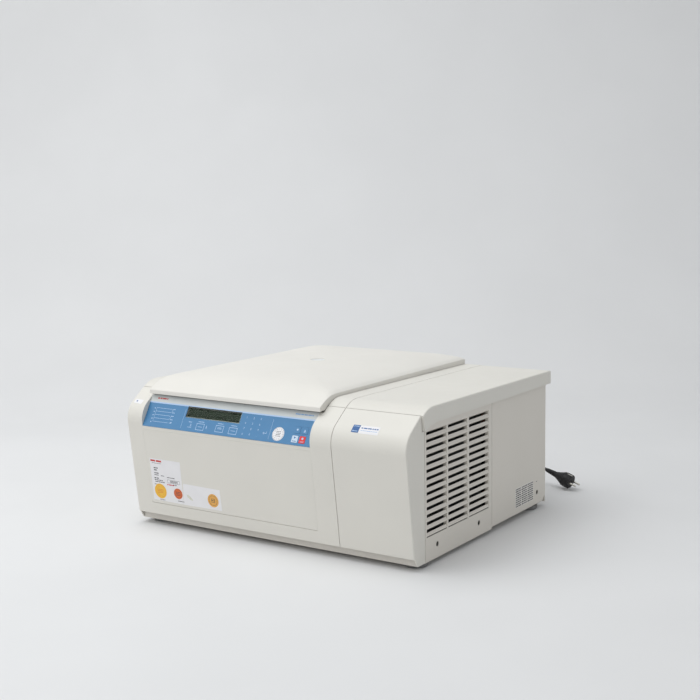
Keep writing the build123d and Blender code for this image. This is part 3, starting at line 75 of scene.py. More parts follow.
class Material:
    """A node material whose patterns run in the object's own metres."""

    def __init__(self, name, rough=0.5, metal=0.0, **sockets):
        self.data = bpy.data.materials.new(name)
        self.data.use_nodes = True
        self.tree = self.data.node_tree
        self.shader = self.tree.nodes["Principled BSDF"]
        self.shader.inputs["Roughness"].default_value = rough
        self.shader.inputs["Metallic"].default_value = metal
        for key, value in sockets.items():
            self.shader.inputs[key.replace("_", " ")].default_value = value
        self.space = self.node("ShaderNodeTexCoord").outputs["Object"]
        self.normal = None

    def node(self, kind, **settings):
        made = self.tree.nodes.new(kind)
        for key, value in settings.items():
            setattr(made, key, value)
        return made

    def link(self, source, target):
        self.tree.links.new(source, target)

    def stretched(self, scale):
        """The object's own space, scaled by its own factor along each axis."""
        mapping = self.node("ShaderNodeMapping")
        mapping.inputs["Scale"].default_value = scale
        self.link(self.space, mapping.inputs["Vector"])
        return mapping.outputs["Vector"]

    def cloud(self, size, detail=3.0, space=None):
        """Noise with features of that size in metres, 0 to 1."""
        made = self.node("ShaderNodeTexNoise")
        made.inputs["Scale"].default_value = 1.0 / size
        made.inputs["Detail"].default_value = detail
        self.link(space or self.space, made.inputs["Vector"])
        return made.outputs["Fac"]

    def ramp(self, value, low, high, start=0.35, end=0.65):
        """A value socket spread from start..end to low..high."""
        made = self.node("ShaderNodeMapRange")
        made.inputs["From Min"].default_value = start
        made.inputs["From Max"].default_value = end
        made.inputs["To Min"].default_value = low
        made.inputs["To Max"].default_value = high
        self.link(value, made.inputs["Value"])
        return made.outputs["Result"]

    def mix(self, factor, first, second):
        """Two colours, or colour sockets, mixed by a value socket."""
        made = self.node("ShaderNodeMix", data_type="RGBA")
        self.link(factor, made.inputs["Factor"])
        for socket, colour in ((made.inputs[6], first), (made.inputs[7], second)):
            if isinstance(colour, tuple):
                socket.default_value = colour
            else:
                self.link(colour, socket)
        return made.outputs[2]

    def colour(self, socket):
        self.link(socket, self.shader.inputs["Base Color"])
        return self

    def mottled(self, rgb, size=0.08, amount=0.03):
        """A colour that wanders a little lighter and darker."""
        base = linear(rgb)
        share = self.ramp(self.cloud(size), 0, 1)
        return self.colour(self.mix(share, tint(base, 1 - amount), tint(base, 1 + amount)))

    def uneven(self, low, high, size=0.02):
        """Roughness that wanders between two values."""
        self.link(self.ramp(self.cloud(size), low, high), self.shader.inputs["Roughness"])
        return self

    def bump(self, value, depth, strength=1.0):
        """A value socket as surface height, on top of earlier bumps."""
        made = self.node("ShaderNodeBump")
        made.inputs["Strength"].default_value = strength
        made.inputs["Distance"].default_value = depth
        self.link(value, made.inputs["Height"])
        if self.normal:
            self.link(self.normal, made.inputs["Normal"])
        self.normal = made.outputs["Normal"]
        self.link(self.normal, self.shader.inputs["Normal"])
        return self

    def grain(self, size, depth, strength=0.5, space=None):
        """Fine noise as surface height."""
        return self.bump(self.cloud(size, 2.0, space), depth, strength)

    def along(self, direction, offset):
        """Distance along a direction, as a value socket."""
        dot = self.node("ShaderNodeVectorMath", operation="DOT_PRODUCT")
        self.link(self.space, dot.inputs[0])
        dot.inputs[1].default_value = direction
        shift = self.node("ShaderNodeMath", operation="SUBTRACT")
        self.link(dot.outputs["Value"], shift.inputs[0])
        shift.inputs[1].default_value = offset
        return shift.outputs[0]


def moulded(name, rgb, **more):
    """Painted structural foam: fine spark-eroded grain and a faint cloudiness."""
    made = Material(name, 0.5, **more).mottled(rgb, 0.12, 0.012).uneven(0.46, 0.56, 0.03)
    return made.grain(0.0009, 0.00005, 0.35)


def brushed(name, rgb, rough, stretch):
    """Metal drawn along one axis."""
    made = Material(name, rough, 1.0).mottled(rgb, 0.15, 0.02).uneven(rough - 0.015, rough + 0.02, 0.08)
    return made.grain(0.0012, 0.00002, 0.3, made.stretched(stretch))


CREAM = (222, 219, 211)
MATERIALS = {}
MATERIALS["cream_plastic"] = moulded("cream_plastic", CREAM)
MATERIALS["lid_paint"] = moulded("lid_paint", (226, 223, 216))
MATERIALS["cream_sheet"] = (
    Material("cream_sheet", 0.45).mottled((219, 214, 205), 0.2, 0.012).uneven(0.4, 0.5, 0.05)
    .grain(0.0025, 0.00008, 0.35)
)
MATERIALS["grey_rubber"] = (
    Material("grey_rubber", 0.75).mottled((118, 119, 118), 0.012, 0.1).uneven(0.68, 0.86, 0.01)
    .grain(0.0007, 0.00008, 0.5)
)
MATERIALS["black_rubber"] = (
    Material("black_rubber", 0.6).mottled((27, 27, 29), 0.01, 0.15).uneven(0.5, 0.7, 0.008)
    .grain(0.0006, 0.00006, 0.5)
)
MATERIALS["cord_jacket"] = (
    Material("cord_jacket", 0.5).mottled((24, 24, 26), 0.02, 0.15).uneven(0.42, 0.6, 0.01)
    .grain(0.0012, 0.00005, 0.5)
)
MATERIALS["black_plastic"] = (
    Material("black_plastic", 0.45).mottled((32, 32, 34), 0.03, 0.08).uneven(0.38, 0.52, 0.01)
    .grain(0.0006, 0.00005, 0.4)
)
MATERIALS["black_paint"] = (
    Material("black_paint", 0.35).mottled((22, 22, 24), 0.03, 0.1).uneven(0.28, 0.45, 0.02)
    .grain(0.003, 0.0001, 0.5)
)
MATERIALS["steel"] = brushed("steel", (176, 177, 180), 0.36, (1.0, 1.0, 0.05))
MATERIALS["stainless"] = brushed("stainless", (202, 204, 206), 0.33, (1.0, 1.0, 0.02))
MATERIALS["fin_aluminium"] = brushed("fin_aluminium", (188, 190, 192), 0.42, (1.0, 0.05, 1.0))
MATERIALS["bucket_anodised"] = (
    Material("bucket_anodised", 0.34, 0.85).mottled((120, 124, 130), 0.02, 0.05)
    .uneven(0.3, 0.42, 0.012).grain(0.0006, 0.00003, 0.4)
)
MATERIALS["motor_cast"] = (
    Material("motor_cast", 0.55, 0.3).mottled((96, 98, 100), 0.02, 0.08).uneven(0.5, 0.68, 0.01)
    .grain(0.0018, 0.00025, 0.6)
)
MATERIALS["cast_rotor"] = (
    Material("cast_rotor", 0.42, 0.9).mottled((160, 163, 168), 0.02, 0.06).uneven(0.36, 0.52, 0.01)
    .grain(0.0012, 0.00012, 0.5)
)
MATERIALS["screw_dark"] = (
    Material("screw_dark", 0.4, 0.9).mottled((70, 68, 66), 0.004, 0.15).uneven(0.34, 0.5, 0.002)
    .grain(0.0006, 0.00006, 0.4)
)
MATERIALS["pin_plated"] = (
    Material("pin_plated", 0.25, 1.0).mottled((205, 202, 194), 0.004, 0.05).uneven(0.18, 0.34, 0.003)
    .grain(0.0008, 0.00003, 0.4)
)
MATERIALS["foam"] = Material("foam", 0.95).mottled((196, 188, 160), 0.02, 0.06).grain(0.0025, 0.0006, 0.8)
MATERIALS["clear_window"] = Material(
    "clear_window", 0.05, Transmission_Weight=1.0, IOR=1.12
).mottled((214, 220, 216), 0.04, 0.02).uneven(0.04, 0.08, 0.02)
# the lid's window is milky, unlike the display's window, which has the same slot
FROST = (
    Material("frosted_window", 0.4, Transmission_Weight=0.2, IOR=1.46)
    .mottled((244, 246, 245), 0.01, 0.015).uneven(0.3, 0.45, 0.01)
)
MATERIALS["start_foil"] = (
    Material("start_foil", 0.4).mottled((196, 214, 232), 0.006, 0.03).uneven(0.36, 0.48, 0.004)
    .grain(0.0007, 0.00003, 0.4)
)
MATERIALS["stop_foil"] = (
    Material("stop_foil", 0.4).mottled((222, 44, 44), 0.006, 0.04).uneven(0.36, 0.48, 0.004)
    .grain(0.0007, 0.00003, 0.4)
)

copper = Material("copper_tube", 0.34, 1.0)
tarnish = copper.ramp(copper.cloud(0.03), 0, 1, 0.45, 0.7)
copper.colour(copper.mix(tarnish, linear((196, 124, 88)), linear((128, 82, 62))))
copper.uneven(0.28, 0.5, 0.01).grain(0.002, 0.00005, 0.4)
MATERIALS["copper_tube"] = copper

board = Material("circuit_green", 0.45)
traces = board.node("ShaderNodeTexVoronoi", distance="MANHATTAN")
traces.inputs["Scale"].default_value = 220.0
board.link(board.space, traces.inputs["Vector"])
edge = board.ramp(traces.outputs["Distance"], 0, 1, 0.3, 0.34)
board.colour(board.mix(edge, linear((52, 120, 74)), linear((30, 84, 50))))
board.uneven(0.38, 0.5, 0.006)
MATERIALS["circuit_green"] = board

# the control panel's plane: up along it, out of it, and a point at its lower edge
PANEL_UP = Vector((0, 0.49896, 0.86662))
PANEL_OUT = Vector((0, -0.86662, 0.49896))
PANEL_LOW = Vector((0, -0.32145, 0.234))
PANEL_BLUE, PANEL_STRIPE, PANEL_GREY = (70, 128, 174), (176, 202, 232), (205, 209, 208)
STRIPE_FROM, STRIPE_TO = 0.56, 0.59    # shares of 0.1 m up the panel
membrane = Material("blue_membrane", 0.42)
height = membrane.along(PANEL_UP, PANEL_LOW.dot(PANEL_UP))
bands = membrane.node("ShaderNodeValToRGB")
bands.color_ramp.interpolation = "CONSTANT"
for place, rgb in ((0.0, PANEL_BLUE), (STRIPE_FROM, PANEL_STRIPE), (STRIPE_TO, PANEL_GREY)):
    stop = bands.color_ramp.elements[0] if place == 0.0 else bands.color_ramp.elements.new(place)
    stop.position = place
    stop.color = linear(rgb)
while len(bands.color_ramp.elements) > 3:
    bands.color_ramp.elements.remove(bands.color_ramp.elements[-1])
membrane.link(membrane.ramp(height, 0, 1, 0.0, 0.1), bands.inputs["Fac"])
faded = membrane.node("ShaderNodeMix", data_type="RGBA", blend_type="MULTIPLY")
faded.inputs["Factor"].default_value = 1.0
membrane.link(bands.outputs["Color"], faded.inputs[6])
wear = membrane.ramp(membrane.cloud(0.05), 0, 1)
membrane.link(membrane.mix(wear, (0.95, 0.96, 0.97, 1), (1, 1, 1, 1)), faded.inputs[7])
membrane.colour(faded.outputs[2]).uneven(0.38, 0.48, 0.02).grain(0.0008, 0.00003, 0.4)
MATERIALS["blue_membrane"] = membrane

# the display: faint character cells in the plane of the panel
CELL_WIDTH, CELL_HEIGHT, CELL_GAP = 0.0036, 0.0066, 0.0003
PANEL_ANGLE = math.radians(60.07)
glass = Material("lcd_glass", 0.6, Specular_IOR_Level=0.15)
cells = glass.node("ShaderNodeTexBrick", offset=0.0)
cells.inputs["Scale"].default_value = 1.0
cells.inputs["Brick Width"].default_value = CELL_WIDTH
cells.inputs["Row Height"].default_value = CELL_HEIGHT
cells.inputs["Mortar Size"].default_value = CELL_GAP
cells.inputs["Color1"].default_value = linear((72, 83, 71))
cells.inputs["Color2"].default_value = linear((69, 80, 68))
cells.inputs["Mortar"].default_value = linear((76, 87, 75))
turned = glass.node("ShaderNodeMapping", vector_type="POINT")
turned.inputs["Rotation"].default_value = (-PANEL_ANGLE, 0, 0)
glass.link(glass.space, turned.inputs["Vector"])
glass.link(turned.outputs["Vector"], cells.inputs["Vector"])
glass.colour(cells.outputs["Color"]).uneven(0.5, 0.65, 0.02)
MATERIALS["lcd_glass"] = glass

for entry in frame["record"]["subparts"]:
    mesh = NODES[entry["node"]].data
    mesh.materials.clear()
    material = FROST if entry["node"] == "lid_window" else MATERIALS[entry["material_slot"]]
    mesh.materials.append(material.data)


def print_ink(name, rgb, rough=0.45):
    """Printed or foil colour on a label; also the black of painted shade."""
    return Material(name, rough).mottled(rgb, 0.004, 0.04).uneven(rough - 0.05, rough + 0.08, 0.003)


WHITE_INK = print_ink("white_ink", (178, 203, 230))
DARK_INK = print_ink("dark_ink", (64, 64, 68))
PAPER = (
    Material("paper", 0.5).mottled((233, 232, 234), 0.02, 0.015).uneven(0.42, 0.6, 0.01)
    .grain(0.0008, 0.00003, 0.4)
)
FOIL = (
    Material("foil", 0.42).mottled((228, 225, 219), 0.02, 0.02).uneven(0.36, 0.5, 0.01)
    .grain(0.0008, 0.00003, 0.4)
)
RED_INK = print_ink("red_ink", (196, 62, 58))
BLUE_INK = print_ink("blue_ink", (28, 88, 150))
PALE_BLUE_INK = print_ink("pale_blue_ink", (116, 160, 208))
YELLOW_INK = print_ink("yellow_ink", (240, 190, 60))
ORANGE_INK = print_ink("orange_ink", (216, 104, 48))
GOLD_INK = print_ink("gold_ink", (226, 168, 82))
OLIVE_INK = print_ink("olive_ink", (214, 213, 200))
# black for painted shade only: the display window's edges and the lowest slots' floors
PAINTED_SHADE_BLACK = print_ink("painted_shade_black", (20, 21, 22))


# ---------------------------------------------------------------- the mains lead
# millimetres: from the rear gland down to the coil, and from the coil to the plug
LEAD = [
    (230, 340, 46), (230, 368, 46), (234, 392, 41), (228, 416, 29), (210, 431, 15), (184, 434, 7),
    (156, 423, 4), (133, 397, 4), (100, 367, 4),
]
TAIL = [
    (95, 477, 11), (128, 481, 8), (159, 485, 12), (187, 487, 24), (212, 486, 38), (236, 483, 48),
    (261.66, 480.05, 50.44), (290.12, 477.05, 41.44),
]
COIL_CENTRE = (60.0, 420.0)
INNER, OUTER = 35.5, 56.5              # radii of the coil's innermost and outermost turn
LOW, HIGH = 4.05, 12.25                # heights of the two layers
TURNS, STEPS = 5.5, 16                 # turns in all, and points to one turn
LAYER_TURNS = 2.6                      # a layer winds from one edge to the other in so many turns
CLIMB_TURNS = 0.3                      # the climb from the lower layer to the upper one
PITCH_OUT = (OUTER - INNER) / LAYER_TURNS
OVERREACH = 1.0195                     # the curve runs a little inside its points
COIL_START, COIL_END = (60, 362.9, LOW), (60, 477.2, HIGH)
CORD_RADIUS = 0.004


def coil_points():
    """Two layers of turns: inwards on the floor, then outwards on top."""
    for index in range(1, int(TURNS * STEPS)):
        turn = index / STEPS
        radius = max(OUTER - PITCH_OUT * turn, OUTER - PITCH_OUT * (TURNS - turn), INNER)
        rise = min(1.0, max(0.0, (turn - LAYER_TURNS) / CLIMB_TURNS))
        z = LOW + (HIGH - LOW) * rise * rise * (3 - 2 * rise)
        angle = -math.pi / 2 - math.tau * turn
        reach = radius * OVERREACH
        yield (COIL_CENTRE[0] + reach * math.cos(angle), COIL_CENTRE[1] + reach * math.sin(angle), z)


cord_curve = bpy.data.curves.new("mains_lead", "CURVE")
cord_curve.dimensions = "3D"
spline = cord_curve.splines.new("NURBS")
route = [*LEAD, COIL_START, *coil_points(), COIL_END, *TAIL]
spline.points.add(len(route) - 1)
for point, place in zip(spline.points, route):
    point.co = (*(Vector(place) * MM), 1.0)
spline.order_u = 3
spline.use_endpoint_u = True
spline.resolution_u = 6
cord_curve.bevel_depth = CORD_RADIUS
cord_curve.bevel_resolution = 5
cord_curve.use_fill_caps = True
mains_lead = bpy.data.objects.new("mains_lead", cord_curve)
SCENE.collection.objects.link(mains_lead)
cord_curve.materials.append(MATERIALS["cord_jacket"].data)
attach(mains_lead, "housing")
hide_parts("mains_cord", "mains_cord_coil")


# ---------------------------------------------------------------- mesh helpers
def mesh_piece(name, bm, material, body, smooth=None, replaces=()):
    """A finished piece from a bmesh, riding on its body."""
    bmesh.ops.recalc_face_normals(bm, faces=bm.faces)
    mesh = bpy.data.meshes.new(name)
    bm.to_mesh(mesh)
    bm.free()
    piece = bpy.data.objects.new(name, mesh)
    SCENE.collection.objects.link(piece)
    mesh.materials.append(material.data)
    if smooth is not None:
        mesh.shade_smooth()
        mesh.set_sharp_from_angle(angle=math.radians(smooth))
    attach(piece, body)
    if replaces:
        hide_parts(*replaces)
    return piece


# ---------------------------------------------------------------- lid
# millimetres; heights are the drawing's, in which the bench lies at DROP
LID_X, LID_Y, LID_TOP, DROP = (-324.85, 142.15), (-294.0, 322.0), 370.0, 16.0
LID_WALL = 3
RIM_RADIUS, FRONT_RIM_RADIUS = 1.4, 0.6
FLOW = 6                               # how sharply the long and the cross curve meet
# (place, height) pairs: the crown from front to rear, then from a side to the middle, and the lower edge
LONG_LINE = [
    (-294, 328.5), (-276, 339.5), (-252, 351), (-226, 359.5), (-150, 367), (30, 370), (200, 367.5),
    (300, 361), (322, 354),
]
CROSS_LINE = [(0, 349), (12, 354.5), (60, 362), (130, 367.5), (233.5, 370)]
UNDERSIDE = [(-294, 319.5), (-290, 319.5), (-288, 320.5), (-271, 320.5), (-267, 328), (322, 332)]
WINDOW_AT, WINDOW_RADIUS = (-91.25, 30.5), 17.5
FRONT_COUNT, SIDE_COUNT = 44, 48       # points along the lid's front edge and along most of a side
# places along a side near the front, where the underside steps
STEP_SHARES = [0, 0.003, 0.0065, 0.01, 0.02, 0.03, 0.0373, 0.0405, 0.0438, 0.055, 0.07, 0.09]


def eased(line, at):
    """Height at a place on the smooth line through some points."""
    slopes = []
    for i in range(len(line)):
        before, after = line[max(0, i - 1)], line[min(len(line) - 1, i + 1)]
        slopes.append((after[1] - before[1]) / (after[0] - before[0]))
    for i, (first, last) in enumerate(zip(line, line[1:])):
        if at <= last[0] or last is line[-1]:
            run = last[0] - first[0]
            t = min(1.0, max(0.0, (at - first[0]) / run))
            curve = (2 * t**3 - 3 * t**2 + 1) * first[1] + (3 * t**2 - 2 * t**3) * last[1]
            return curve + run * ((t**3 - 2 * t**2 + t) * slopes[i] + (t**3 - t**2) * slopes[i + 1])


def straight(line, at):
    """Height at a place on the straight runs between some points."""
    for first, last in zip(line, line[1:]):
        if at <= last[0]:
            return first[1] + (last[1] - first[1]) * (at - first[0]) / (last[0] - first[0])
    return line[-1][1]


def rounding(distance, radius):
    """How far a rounded edge has fallen at a distance from the edge."""
    inside = max(0.0, radius - distance)
    return radius - math.sqrt(radius * radius - inside * inside)


def lid_height(x, y):
    """The crowned top: a long and a cross curve that flow into each other, with rounded rims."""
    side = min(x - LID_X[0], LID_X[1] - x)
    long_drop = max(0.0, LID_TOP - eased(LONG_LINE, y))
    cross_drop = max(0.0, LID_TOP - eased(CROSS_LINE, side))
    fall = (long_drop**FLOW + cross_drop**FLOW) ** (1 / FLOW)
    fall += rounding(side, RIM_RADIUS)
    fall += rounding(y - LID_Y[0], FRONT_RIM_RADIUS)
    fall += rounding(LID_Y[1] - y, RIM_RADIUS)
    return LID_TOP - fall


def loop_shares():
    """Places around the lid's rim, as shares of its width and length."""
    first = STEP_SHARES[-1]
    side = STEP_SHARES + [first + (1 - first) * i / SIDE_COUNT for i in range(1, SIDE_COUNT)]
    front = [(i / FRONT_COUNT, 0.0) for i in range(FRONT_COUNT)]
    right_side = [(1.0, share) for share in side]
    rear = [(1 - i / FRONT_COUNT, 1.0) for i in range(FRONT_COUNT)]
    left_side = [(0.0, share) for share in [1.0] + side[:0:-1]]
    return front + right_side + rear + left_side


def lid_ring(bm, shares, inset, lower, blend=0.0):
    """One closed row of points, between the rim set in by some distance and the window's edge."""
    ring = []
    for across, along in shares:
        x = LID_X[0] + inset + across * (LID_X[1] - LID_X[0] - 2 * inset)
        y = LID_Y[0] + inset + along * (LID_Y[1] - LID_Y[0] - 2 * inset)
        if blend:
            away_x, away_y = x - WINDOW_AT[0], y - WINDOW_AT[1]
            reach = math.hypot(away_x, away_y)
            x += (WINDOW_AT[0] + away_x / reach * WINDOW_RADIUS - x) * blend
            y += (WINDOW_AT[1] + away_y / reach * WINDOW_RADIUS - y) * blend
        ring.append(bm.verts.new(Vector((x, y, lid_height(x, y) - lower - DROP)) * MM))
    return ring


def lid_foot(bm, ring):
    """The lower edge below one row."""
    foot = []
    for vert in ring:
        height = (straight(UNDERSIDE, vert.co.y / MM) - DROP) * MM
        foot.append(bm.verts.new((vert.co.x, vert.co.y, height)))
    return foot


def join_rings(bm, rings):
    """Faces between each row of points and the next."""
    for first, last in zip(rings, rings[1:]):
        for i in range(len(first)):
            j = (i + 1) % len(first)
            bm.faces.new((first[i], first[j], last[j], last[i]))


shares = loop_shares()
# rows of the top: first at distances from the rim, then on the way to the window's edge
INSETS = [0, 0.15, 0.35, 0.65, 1.0, 1.5, 3, 6, 9, 13, 19, 27, 37, 50, 65, 85, 108]
BLENDS = [0.12, 0.25, 0.38, 0.5, 0.62, 0.73, 0.83, 0.91, 0.96, 1.0]
bm = bmesh.new()
outer = [lid_ring(bm, shares, inset, 0) for inset in INSETS]
outer += [lid_ring(bm, shares, INSETS[-1], 0, blend) for blend in BLENDS]
inner = [lid_ring(bm, shares, inset, LID_WALL) for inset in (LID_WALL, 8, 20, 50, INSETS[-1])]
inner += [lid_ring(bm, shares, INSETS[-1], LID_WALL, blend) for blend in (0.3, 0.6, 0.85, 1.0)]
join_rings(bm, [*outer[::-1], lid_foot(bm, outer[0]), lid_foot(bm, inner[0]), *inner, outer[-1]])
mesh_piece("lid_skin", bm, MATERIALS["lid_paint"], "lid", 40, ["lid_shell"])

# ---------------------------------------------------------------- plug and strain relief
SLOTS = {entry["node"]: entry["material_slot"] for entry in frame["record"]["subparts"]}


def lathe(name, origin, axis, across, profile, node, shape=None, count=72):
    """A turned piece: rows of (distance along the axis, radius), with an optional change of each point."""
    origin, axis, across = Vector(origin), Vector(axis).normalized(), Vector(across).normalized()
    sideways = axis.cross(across)
    bm = bmesh.new()
    rings = []
    for distance, radius in profile:
        ring = []
        for i in range(count):
            angle = math.tau * i / count
            a, b = radius * math.cos(angle), radius * math.sin(angle)
            if shape:
                a, b = shape(distance, a, b)
            ring.append(bm.verts.new((origin + axis * distance + across * a + sideways * b) * MM))
        rings.append(ring)
    join_rings(bm, rings)
    bm.faces.new(rings[0])
    bm.faces.new(rings[-1])
    return mesh_piece(name, bm, MATERIALS[SLOTS[node]], "housing", 35, [node])


def boot(start, end, wide, narrow, ribs):
    """A strain relief: a taper with grooves."""
    rows = []
    for i in range(ribs):
        for share, cut in ((0.05, 0.0), (0.55, 0.0), (0.65, 1.1), (0.95, 1.1)):
            t = (i + share) / ribs
            rows.append((start + (end - start) * t, wide + (narrow - wide) * t - cut))
    return rows


CLIP_LENGTH, CLIP_HALF_WIDTH, CLIP_SIDES_FROM, CLIP_FLOOR = 16, 4.6, 10, 15.4


def clip_slots(distance, a, b):
    """Room for the two earth clips on the plug's sides."""
    if distance < CLIP_LENGTH and abs(a) < CLIP_HALF_WIDTH and abs(b) > CLIP_SIDES_FROM:
        b = math.copysign(min(abs(b), CLIP_FLOOR), b)
    return a, b


PLUG_AXIS = Vector((-0.949, 0.1, 0.3)).normalized()
plug = lathe(
    "plug_body", (358.9, 469.8, 19.7), PLUG_AXIS, PLUG_AXIS.cross(Vector((0, 0, -1))),
    [
        (0, 16.4), (0.4, 17.3), (1.2, 17.9), (2.5, 18.1), (15.5, 18.1), (16.5, 18.1), (18, 17.9), (19, 16.9),
        (20.5, 16.9), (21.5, 17.4), (23, 16.4), (24.2, 15.1), (25.5, 15.4), (28, 13.9), (29.2, 12.8),
        (30.5, 13.0), (33, 11.8), (36, 10.5), (40, 9.0), (43.5, 7.9), *boot(44, 72, 7.4, 5.2, 6), (72.5, 4.9),
    ],
    "mains_plug", clip_slots, 96,
)
lathe(
    "cord_boot", (230, 305.5, 46), (0, 1, 0), (1, 0, 0),
    [
        (-6.5, 7.8), (0, 7.8), (0.05, 11.2), (0.8, 12), (3.8, 12), (5, 11), (5.05, 8.9),
        *boot(5.5, 34.2, 8.8, 5.4, 6), (34.5, 5.0),
    ],
    "cord_gland",
)


# ---------------------------------------------------------------- printed shapes
class Film:
    """Thin printed or stuck-on shapes, and shapes of painted shade, on one surface, gathered into one mesh.

    Places are (x, s) in millimetres: across the surface and up along it. The film reaches
    from low to high over the surface, and place turns (x, s, height) into a point.
    """

    def __init__(self, place, low, high):
        self.bm = bmesh.new()
        self.place, self.low, self.high = place, low, high

    def poly(self, points):
        """A flat shape with an edge down to the surface."""
        count = len(points)
        bottom = [self.bm.verts.new(self.place(x, s, self.low)) for x, s in points]
        top = [self.bm.verts.new(self.place(x, s, self.high)) for x, s in points]
        self.bm.faces.new(top)
        for i in range(count):
            self.bm.faces.new((bottom[i], bottom[(i + 1) % count], top[(i + 1) % count], top[i]))
        return self

    def turned(self, x, s, outline, angle=0.0):
        """An outline around a place, turned by some degrees."""
        cosine, sine = math.cos(math.radians(angle)), math.sin(math.radians(angle))
        return self.poly([(x + cosine * a - sine * b, s + sine * a + cosine * b) for a, b in outline])

    def bar(self, x, s, width, tall, angle=0.0):
        """A rectangle around a place."""
        half, rise = width / 2, tall / 2
        return self.turned(x, s, [(-half, -rise), (half, -rise), (half, rise), (-half, rise)], angle)

    def rounded(self, x, s, width, tall, radius, angle=0.0):
        """A rectangle with rounded corners."""
        half, rise = width / 2 - radius, tall / 2 - radius
        outline = []
        for centre_x, centre_s, first in (
            (half, -rise, -90), (half, rise, 0), (-half, rise, 90), (-half, -rise, 180),
        ):
            for step in range(5):
                turn = math.radians(first + 22.5 * step)
                outline.append((centre_x + radius * math.cos(turn), centre_s + radius * math.sin(turn)))
        return self.turned(x, s, outline, angle)

    def frame(self, x, s, width, tall, line, angle=0.0):
        """The outline of a rectangle, as four bars."""
        half, rise = (width - line) / 2, (tall - line) / 2
        upright_bar = tall - 2 * line
        cosine, sine = math.cos(math.radians(angle)), math.sin(math.radians(angle))
        for dx, ds, across, high in (
            (0, -rise, width, line), (0, rise, width, line),
            (-half, 0, line, upright_bar), (half, 0, line, upright_bar),
        ):
            self.bar(x + cosine * dx - sine * ds, s + sine * dx + cosine * ds, across, high, angle)
        return self

    def disc(self, x, s, radius, count=40):
        """A filled circle."""
        return self.poly([
            (x + radius * math.cos(math.tau * i / count), s + radius * math.sin(math.tau * i / count))
            for i in range(count)
        ])

    def ring(self, x, s, radius, line, count=40):
        """A flat ring as short strokes."""
        for i in range(count):
            a, b = math.tau * i / count, math.tau * (i + 1) / count
            self.poly([
                (x + radius * math.cos(a), s + radius * math.sin(a)),
                (x + radius * math.cos(b), s + radius * math.sin(b)),
                (x + (radius - line) * math.cos(b), s + (radius - line) * math.sin(b)),
                (x + (radius - line) * math.cos(a), s + (radius - line) * math.sin(a)),
            ])
        return self

    def stroke(self, points, line):
        """A line of some width through points."""
        for (x0, s0), (x1, s1) in zip(points, points[1:]):
            run = math.hypot(x1 - x0, s1 - s0)
            angle = math.degrees(math.atan2(s1 - s0, x1 - x0))
            self.bar((x0 + x1) / 2, (s0 + s1) / 2, run + line, line, angle)
        return self

    def words(self, x, s, width, tall, seed, angle=0.0):
        """A row of illegible print: bars of uneven length."""
        at = -width / 2
        cosine, sine = math.cos(math.radians(angle)), math.sin(math.radians(angle))
        count = 0
        while at < width / 2 - tall * 0.6:
            part = tall * (1.2 + 2.6 * abs(noise.noise(Vector((seed * 3.7, count * 1.9, 0.5)))) * 2)
            part = min(part, width / 2 - at)
            middle = at + part / 2
            self.bar(x + cosine * middle, s + sine * middle, part, tall, angle)
            at += part + tall * 0.55
            count += 1
        return self

    def text(self, body, x, s, size):
        """Numbers, from the built-in face."""
        curve = bpy.data.curves.new("digits", "FONT")
        curve.body = body
        curve.size = size
        curve.align_x, curve.align_y = "CENTER", "CENTER"
        curve.resolution_u = 2
        holder = bpy.data.objects.new("digits", curve)
        mesh = bpy.data.meshes.new_from_object(holder)
        verts = [
            self.bm.verts.new(self.place(x + vert.co.x, s + vert.co.y, self.high)) for vert in mesh.vertices
        ]
        for face in mesh.polygons:
            self.bm.faces.new([verts[i] for i in face.vertices])
        bpy.data.objects.remove(holder)
        bpy.data.curves.remove(curve)
        bpy.data.meshes.remove(mesh)
        return self

    def piece(self, name, material, slot, body="housing"):
        """The film as a finished piece."""
        return mesh_piece(name, self.bm, material, body)


def on_plane(origin, out, upward):
    """A function that puts (x, s along the surface, h off it), in millimetres, on a plane."""
    origin, out, upward = Vector(origin), Vector(out), Vector(upward)
    return lambda x, s, h: (origin + Vector((x, 0, 0)) * MM + upward * s * MM + out * h * MM)


on_panel = on_plane(PANEL_LOW, PANEL_OUT, PANEL_UP)
FRONT_UP = Vector((0, -0.12409, 0.99227))
on_front = on_plane((0, -0.2965, 0.031), (0, -0.99227, -0.12409), FRONT_UP)
# the slope over the control panel, from the brow up, with the brow's rounding
SLOPE_UP, SLOPE_OUT = Vector((0, 0.8090, 0.5878)), Vector((0, -0.5878, 0.8090))
BROW = Vector((0, -0.3262, 0.2685))
BROW_RADIUS, BROW_TANGENT = 50.0, 29.5


def on_brow(x, s, h):
    """The slope above the brow: straight, then rounded towards the brow."""
    into = max(0.0, BROW_TANGENT - s)
    drop = BROW_RADIUS - math.sqrt(BROW_RADIUS**2 - into**2)
    return BROW + Vector((x, 0, 0)) * MM + SLOPE_UP * s * MM + SLOPE_OUT * (h - drop) * MM


SIDE_FACE = 364.5                      # x of the right side's outer face


def on_side(y, z, h):
    """A place on the right side, h off it; z is the drawing's height."""
    return Vector((SIDE_FACE + h, y, z - DROP)) * MM


# ---------------------------------------------------------------- control panel
# x counts from the object's middle to its right, s from the panel's lower edge up
PRINT = (1.2, 1.25)                    # lower and upper face of print on the membrane
KEY_PRINT = (1.6, 1.65)                # and of print on the raised keys
white = Film(on_panel, *PRINT)
# the menu at the left: five lines, joined by brackets
for row, s in enumerate((45.5, 37.5, 29.5, 21.5, 13.5)):
    white.bar(-277, s, 44, 0.7)
    white.bar(-304, s - 1.5, 2.4, 2.4)
    white.words(-247.5, s, 7, 1.6, row)
white.stroke([(-299, 45.5), (-299, 13.5)], 0.6)
white.stroke([(-255, 45.5), (-250, 41.5), (-255, 37.5)], 0.5)
white.stroke([(-255, 29.5), (-250, 25.5), (-255, 21.5)], 0.5)
white.disc(-246, 14.5, 1.8)
for x in (-214.9, 26.15):
    white.bar(x, 28, 0.5, 44)
